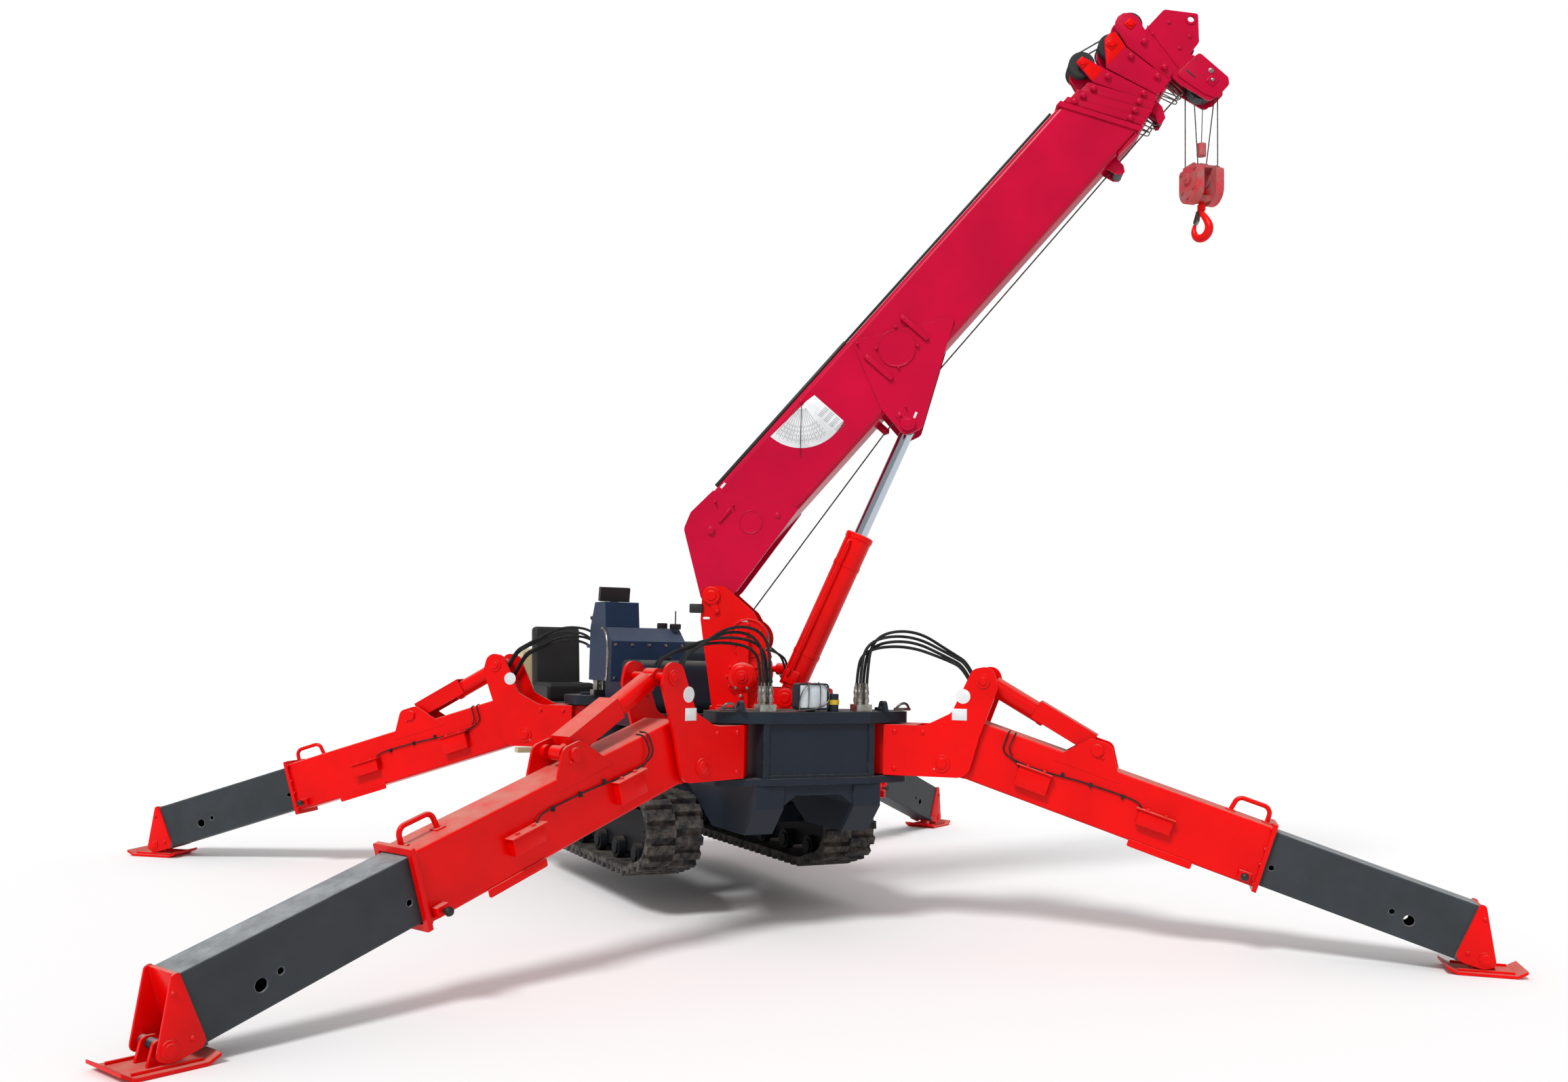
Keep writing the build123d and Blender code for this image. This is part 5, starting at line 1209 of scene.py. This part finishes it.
class CRANE_OT_front_fittings(bpy.types.Operator):
    """Work lamp in its cage, beacon and shackles on the front frame."""

    bl_idname = "crane.front_fittings"
    bl_label = "Front fittings"

    def execute(self, context):
        wires = []
        for y in (-0.090, -0.010):
            route = [(-0.02, y, 1.386), (0.008, y, 1.392), (0.010, y, 1.470), (0.008, y, 1.552), (-0.02, y, 1.557)]
            wires.append(strand("wire", MACHINE, route, 0.0035)[0])
        frame_wire = [(-0.152, 1.388), (0.054, 1.388), (0.056, 1.552), (-0.154, 1.552), (-0.154, 1.388)]
        wires.append(strand("wire", MACHINE, [(0.006, y, z) for y, z in frame_wire], 0.004)[0])
        fit("lamp_cage", wires, "chassis", "steel")
        lens = block("lamp_lens", MACHINE, (-0.013, -0.142, 1.400), (-0.004, 0.044, 1.540), 0.004)
        dress(lens, "chassis", "lamp_glass")
        ring = ((0, 0), (0.040, 0), (0.041, 0.004), (0.041, 0.030), (0, 0.030))
        band = turned("beacon_band", MACHINE @ Matrix.Translation((-0.05, 0.11, 1.42)), ring)
        dress(band, "chassis", "yellow")
        dome = ((0, 0), (0.020, 0), (0.022, 0.006), (0.020, 0.026), (0.010, 0.034), (0, 0.035))
        cap = turned("beacon_cap", MACHINE @ Matrix.Translation((-0.05, 0.085, 1.486)), dome, 24)
        dress(cap, "chassis", "red_lens")
        small = []
        for y in (-0.62, 0.60):
            points = [(-0.02, y - 0.05, 1.39), (0.0, y - 0.03, 1.43), (0.0, y + 0.03, 1.43), (-0.02, y + 0.05, 1.39)]
            small.append(strand("shackle", MACHINE, points, 0.008)[0])
            small.append(bar("shackle_pin", MACHINE, (-0.02, y - 0.06, 1.392), (-0.02, y + 0.06, 1.392), 0.009, 16))
        fit("shackles", small, "chassis", "steel")
        return {"FINISHED"}


# Pins of the boom's foot and of the luffing cylinder's foot: (x, z) in the column's axes
BOOM_FOOT_PIN = (-0.350, 2.100)
LUFF_FOOT_PIN = (0.150, 1.440)
# The winch's gear housing and its drum: (x, z) of their axes
GEAR_CENTRE = (-0.127, 1.571)
DRUM_CENTRE = (-0.101, 1.825)


class CRANE_OT_column_fittings(bpy.types.Operator):
    """Gear housing bolts, pins with keepers, ports, sensor and reflectors, and the luffing cylinder's gland."""

    bl_idname = "crane.column_fittings"
    bl_label = "Column fittings"

    def execute(self, context):
        red = []
        face = -0.205
        for x, z in circle(*GEAR_CENTRE, 0.106, 10):
            red.append(bolt("bolt", COLUMN, (x, face - 0.024, z), (0, -1, 0), 0.009, 0.009))
        cap = ((0, 0), (0.040, 0), (0.042, 0.004), (0.040, 0.012), (0.022, 0.014), (0.020, 0.022), (0, 0.022))
        red.append(side_turned("cap", COLUMN, *GEAR_CENTRE, -1, 0.301, cap))
        for way in SIDES:
            pin = ((0, 0), (0.056, 0), (0.058, 0.003), (0.056, 0.008), (0.034, 0.010), (0.030, 0.016), (0, 0.016))
            for x, z in (BOOM_FOOT_PIN, LUFF_FOOT_PIN):
                red.append(side_turned("pin", COLUMN, x, z, way, 0.215, pin, 36))
            keeper = rounded([(-0.375, 2.085), (-0.325, 2.085), (-0.290, 1.990), (-0.325, 1.972)], 0.010)
            red.append(side_plate("keeper", COLUMN, keeper, way, 0.204, 0.218, 0.002))
            red.append(bolt("bolt", COLUMN, (-0.310, way * 0.218, 1.995), (0, way, 0), 0.011, 0.010))
            edge = [(-0.300, 1.372), (0.255, 1.372), (0.255, 1.384), (-0.300, 1.384)]
            red.append(side_plate("seam", COLUMN, edge, way, 0.200, 0.212, 0.003))
        guard = ((0.118, 0), (0.128, 0), (0.130, 0.003), (0.128, 0.009), (0.118, 0.009))
        red.append(side_turned("drum_ring", COLUMN, *DRUM_CENTRE, -1, -face, guard, 56))
        for x, z in circle(*DRUM_CENTRE, 0.090, 6, 0.5):
            red.append(bolt("bolt", COLUMN, (x, face, z), (0, -1, 0), 0.010, 0.009))
        tab = rounded([(-0.030, 1.660), (0.020, 1.672), (0.062, 1.700), (0.050, 1.742), (0.000, 1.740)], 0.012)
        red.append(plate("wing", COLUMN, tab, -0.214, -0.204, 0.002))
        fit("column_fittings", red, "crane_column", "leg_red")
        steel = []
        for x, z in ((-0.132, 1.447), (-0.090, 1.500), (-0.165, 1.500)):
            steel.append(bar("port", COLUMN, (x, -0.262, z), (x, -0.285, z), 0.013, 6))
            steel.append(bar("port", COLUMN, (x, -0.285, z), (x, -0.300, z), 0.010, 16))
        fit("column_ports", steel, "crane_column", "zinc")
        box = block("column_sensor", COLUMN, (-0.492, -0.236, 1.985), (-0.406, -0.192, 2.045), 0.006)
        dress(box, "crane_column", "black")
        plates = []
        for x, z in ((-0.380, 1.952), (-0.128, 1.940)):
            plates.append(block("reflector", COLUMN, (x - 0.022, -0.209, z - 0.008), (x + 0.022, -0.204, z + 0.008), 0.003))
        fit("column_reflectors", plates, "crane_column", "white")
        # The luffing cylinder's gland and its pipe
        gland = ((0.049, 1.150), (0.092, 1.150), (0.095, 1.154), (0.095, 1.184), (0.086, 1.1915), (0.049, 1.1915))
        rings = [turned("gland", LUFF @ TO_FRONT, gland, 40)]
        for x in (0.30, 0.95):
            band = ((0.088, x), (0.0935, x), (0.0935, x + 0.03), (0.088, x + 0.03))
            rings.append(turned("band", LUFF @ TO_FRONT, band, 40))
        pipe = [
            (0.130, -0.080, 0.040), (0.130, -0.112, 0.052), (0.170, -0.116, 0.052), (0.600, -0.116, 0.052),
            (1.090, -0.116, 0.052), (1.120, -0.112, 0.050), (1.125, -0.078, 0.040),
        ]
        rings.append(strand("pipe", LUFF, pipe, 0.009)[0])
        rings.append(block("valve", LUFF, (0.090, -0.105, -0.020), (0.180, -0.070, 0.070), 0.006))
        fit("luff_fittings", rings, "luff_barrel", "leg_red")
        return {"FINISHED"}


# The boom head's bolts: (x, z) on each cheek, in the boom's axes
HEAD_BOLTS = ((4.800, 0.330), (4.930, 0.300), (4.840, 0.130), (4.945, 0.130))
# The head sheaves' axis: (x, z)
HEAD_PIN = (4.761, -0.150)
# The sheave case's cover on each cheek: outline (x, z), and the slot and holes in it, drawn as thin black sheets of
# painted shade
CASE_COVER = (
    (4.900, 0.013), (4.892, -0.246), (4.858, -0.283), (4.750, -0.282), (4.722, -0.259), (4.702, -0.196),
    (4.682, 0.032),
)
CASE_HOLE_SHADES = (
    ((4.744, -0.087), (4.754, -0.087), (4.754, 0.002), (4.744, 0.002)),
    ((4.839, -0.008), (4.849, -0.008), (4.849, 0.002), (4.839, 0.002)),
    ((4.790, -0.117), (4.800, -0.117), (4.800, -0.107), (4.790, -0.107)),
)


class CRANE_OT_head_fittings(bpy.types.Operator):
    """The boom head's bolts, sheave case and sheaves, the hook block's bolts and the hook's latch."""

    bl_idname = "crane.head_fittings"
    bl_label = "Head fittings"

    def execute(self, context):
        red, dark, zinc = [], [], []
        for way in SIDES:
            side = way * 0.0875
            for x, z in HEAD_BOLTS:
                red.append(bolt("bolt", BOOM, (x, side, z), (0, way, 0), 0.010, 0.010))
            ring = ((0.022, 0), (0.038, 0), (0.038, 0.005), (0.022, 0.005))
            red.append(side_turned("eye", BOOM, 5.040, 0.205, way, 0.0875, ring))
            cover = rounded(CASE_COVER, 0.030)
            red.append(side_plate("cover", BOOM, cover, way, 0.0865, 0.095, 0.0015))
            keeper = rounded([(4.775, -0.212), (4.838, -0.212), (4.838, -0.150), (4.775, -0.150)], 0.006)
            red.append(side_plate("keeper", BOOM, keeper, way, 0.095, 0.101, 0.001))
            # Thin black sheets on the cover: painted shade where the slot and holes are
            for hole_shade in CASE_HOLE_SHADES:
                dark.append(side_plate("hole_shade", BOOM, rounded(hole_shade, 0.004), way, 0.0945, 0.0954, 0.0001))
            for x, z in ((4.852, -0.130), (4.806, -0.180)):
                zinc.append(bolt("bolt", BOOM, (x, way * 0.095, z), (0, way, 0), 0.013, 0.016))
        fit("head_bolts", red, "boom_7", "boom_red")
        # The black sheets of painted shade in the case's slot and holes
        fit("head_case_hole_shade", dark, "boom_7", "black")
        fit("head_case_pins", zinc, "boom_7", "zinc")
        half = ((0.0960, 0.0050), (0.0970, 0.0120), (0.0965, 0.0140), (0.028, 0.0140))
        sheave = [(radius, -y) for radius, y in reversed(half)] + list(half)
        wheels = []
        for y in (-0.034, 0.0, 0.034):
            wheels.append(side_turned("sheave", BOOM, *HEAD_PIN, -1, -y, sheave, 48))
        fit("head_sheaves", wheels, "boom_7", "black")
        # The hook block's bolts, its sheave pin caps and the hook's latch
        red = []
        for way in SIDES:
            cap = ((0, 0), (0.038, 0), (0.038, 0.004), (0.028, 0.008), (0.014, 0.009), (0.012, 0.014), (0, 0.014))
            red.append(side_turned("cap", BLOCK, 0, 0, way, 0.109, cap))
            for x, z in ((-0.080, 0.048), (0.080, 0.048), (-0.066, -0.082), (0.066, -0.082), (0, -0.132)):
                red.append(bolt("bolt", BLOCK, (x, way * 0.104, z), (0, way, 0), 0.009, 0.008))
            for x in (-0.045, 0.045):
                red.append(bolt("bolt", BLOCK, (x, way * 0.085, 0.090), (0, 0, 1), 0.009, 0.009))
        red.append(block("clamp", BLOCK, (-0.034, -0.030, 0.088), (0.034, 0.030, 0.108), 0.004))
        fit("block_bolts", red, "hook_block", "block_red")
        latch = [(-0.012, 0.132), (-0.034, 0.124), (-0.060, 0.052), (-0.046, 0.036), (-0.026, 0.060)]
        pieces = [plate("latch", HOOK, rounded(latch, 0.006), -0.014, 0.014, 0.002)]
        pieces.append(bar("latch_pin", HOOK, (-0.024, -0.024, 0.118), (-0.024, 0.024, 0.118), 0.006, 16))
        fit("hook_latch", pieces, "hook", "steel")
        return {"FINISHED"}


class CRANE_OT_station(bpy.types.Operator):
    """The operator's station: panel screws, grab tube, aerial, lever gaiters and display glass."""

    bl_idname = "crane.station"
    bl_label = "Station"

    def execute(self, context):
        screws = []
        for n in range(5):
            for z in (1.525, 1.765):
                screws.append(bolt("screw", MACHINE, (-1.850, -0.690 + n * 0.128, z), (1, 0, 0), 0.009, 0.007))
        tube = [
            (-1.900, -0.740, 1.520), (-1.880, -0.745, 1.500), (-1.860, -0.745, 1.540), (-1.855, -0.745, 1.700),
            (-1.880, -0.745, 1.820), (-1.960, -0.745, 1.890), (-2.000, -0.742, 1.880),
        ]
        screws.append(strand("tube", MACHINE, tube, 0.010)[0])
        fit("panel_screws", screws, "chassis", "zinc")
        dark = [block("aerial_box", MACHINE, (-1.960, -0.235, 1.885), (-1.900, -0.165, 1.925), 0.006)]
        dark.append(bar("aerial", MACHINE, (-1.930, -0.200, 1.925), (-1.930, -0.200, 2.020), 0.005, 12, 0))
        dark.append(block("key_box", MACHINE, (-2.050, -0.300, 1.888), (-1.980, -0.240, 1.930), 0.006))
        gaiter = (
            (0, 0), (0.020, 0), (0.020, 0.004), (0.014, 0.008), (0.016, 0.012), (0.011, 0.018), (0.012, 0.024),
            (0.007, 0.032), (0, 0.032),
        )
        for n in range(6):
            spot = Matrix.Translation((-2.380, -0.675 + n * 0.034, 1.760))
            dark.append(turned("gaiter", MACHINE @ spot, gaiter, 20))
        fit("station_fittings", dark, "chassis", "black")
        place = MACHINE @ Matrix.Translation((-2.180, -0.593, 2.135)) @ Matrix.Rotation(math.radians(8), 4, "Y")
        glass = block("display_glass", place, (-0.0245, -0.098, -0.040), (-0.0215, 0.098, 0.040), 0.001)
        dress(glass, "chassis", "screen")
        cap = ((0, 0), (0.048, 0), (0.050, 0.004), (0.050, 0.022), (0.044, 0.028), (0, 0.028))
        filler = turned("filler_cap", MACHINE @ Matrix.Translation((-1.560, -0.420, 1.659)), cap, 32)
        dress(filler, "chassis", "black")
        # The hood's latches and the rear body's handles
        dark = []
        for x in (-3.05, -2.65):
            dark.append(block("latch", MACHINE, (x - 0.030, 0.699, 1.450), (x + 0.030, 0.712, 1.490), 0.004))
        for y in (-0.385, 0.0, 0.385):
            bow = ((-3.566, -0.06), (-3.590, -0.06), (-3.590, 0.06), (-3.566, 0.06))
            handle = [(x, y + dy, 1.180) for x, dy in bow]
            dark.append(strand("handle", MACHINE, handle, 0.006, False)[0])
        fit("body_handles", dark, "chassis", "black")
        return {"FINISHED"}


class CRANE_OT_seat(bpy.types.Operator):
    """The operator's seat as stuffed vinyl: cushion and back with rounded edges and stitched channels."""

    bl_idname = "crane.seat"
    bl_label = "Seat"

    def execute(self, context):
        # Name, place and half sizes: the cushion lies, the back leans to the rear
        lean = Matrix.Translation((-3.675, -0.560, 1.650)) @ Matrix.Rotation(math.radians(-8), 4, "Y")
        forms = (
            ("seat_cushion", Matrix.Translation((-3.430, -0.560, 1.370)), (0.210, 0.200, 0.070)),
            ("seat_back", lean, (0.045, 0.200, 0.250)),
        )
        for name, place, half in forms:
            fresh()
            bpy.ops.mesh.primitive_cube_add(size=2, scale=half)
            piece = bpy.context.object
            piece.name = piece.data.name = name
            piece.data.transform(piece.matrix_basis)
            piece.matrix_basis = AS_IT_IS
            edge = piece.modifiers.new("edge", "BEVEL")
            edge.width = 0.030
            edge.segments = 3
            bpy.ops.object.modifier_apply(modifier=edge.name)
            bpy.ops.object.mode_set(mode="EDIT")
            bpy.ops.mesh.select_all(action="SELECT")
            bpy.ops.mesh.subdivide(number_cuts=3)
            bpy.ops.object.mode_set(mode="OBJECT")
            # A crown in the middle and a stitched channel across
            for vertex in piece.data.vertices:
                x, y, z = (vertex.co[axis] / half[axis] for axis in range(3))
                thin = 2 if half[2] < half[0] else 0
                across = (x, y, z)[2 - thin]
                dip = 0.006 * math.exp(-((abs(across) - 0.45) / 0.05) ** 2)
                crown = -0.010 * (across * across + y * y) / 2
                if abs((x, y, z)[thin]) > 0.9:
                    vertex.co[thin] += math.copysign(crown - dip, vertex.co[thin])
            soft = piece.modifiers.new("soft", "SUBSURF")
            soft.levels = soft.render_levels = 1
            bpy.ops.object.modifier_apply(modifier=soft.name)
            bpy.ops.object.shade_smooth()
            piece.data.transform(MACHINE @ place)
            dress(piece, "chassis", "vinyl")
            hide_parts("seat")
        return {"FINISHED"}


# Height and outer face of the idlers' and sprockets' hubs
HUB_HEIGHT = 0.550
HUB_FACE = 0.755


class CRANE_OT_undercarriage_fittings(bpy.types.Operator):
    """Hub bolts on the idlers and sprockets."""

    bl_idname = "crane.undercarriage_fittings"
    bl_label = "Undercarriage fittings"

    def execute(self, context):
        heads = []
        for way in SIDES:
            for hub, ring, count in ((-0.970, 0.040, 6), (-3.220, 0.062, 9)):
                for x, z in circle(hub, HUB_HEIGHT, ring, count):
                    heads.append(bolt("bolt", MACHINE, (x, way * HUB_FACE, z), (0, way, 0), 0.010, 0.009))
        fit("hub_bolts", heads, "chassis", "track_frame")
        return {"FINISHED"}


class CRANE_PT_panel(bpy.types.Panel):
    """Lists the crane's operators."""

    bl_idname = "CRANE_PT_panel"
    bl_label = "Crane"
    bl_space_type = "VIEW_3D"
    bl_region_type = "UI"
    bl_category = "Crane"

    def draw(self, context):
        for operator in OPERATORS:
            self.layout.operator(operator.bl_idname)


OPERATORS = (
    CRANE_OT_stage,
    CRANE_OT_paint,
    CRANE_OT_hoses,
    CRANE_OT_ropes,
    CRANE_OT_rope_guards,
    CRANE_OT_section_plates,
    CRANE_OT_boom_nuts,
    CRANE_OT_angle_chart,
    CRANE_OT_boom_fittings,
    CRANE_OT_leg_fittings,
    CRANE_OT_front_fittings,
    CRANE_OT_column_fittings,
    CRANE_OT_head_fittings,
    CRANE_OT_station,
    CRANE_OT_seat,
    CRANE_OT_undercarriage_fittings,
)
CLASSES = (CranePaints, CraneSizes, *OPERATORS, CRANE_PT_panel)


def register():
    for cls in CLASSES:
        bpy.utils.register_class(cls)
    bpy.types.Scene.crane_paints = PointerProperty(type=CranePaints)
    bpy.types.Scene.crane_sizes = PointerProperty(type=CraneSizes)


def unregister():
    del bpy.types.Scene.crane_sizes
    del bpy.types.Scene.crane_paints
    for cls in reversed(CLASSES):
        bpy.utils.unregister_class(cls)


def main():
    register()
    for operator in OPERATORS:
        group, name = operator.bl_idname.split(".")
        getattr(getattr(bpy.ops, group), name)()


if __name__ == "__main__":
    main()
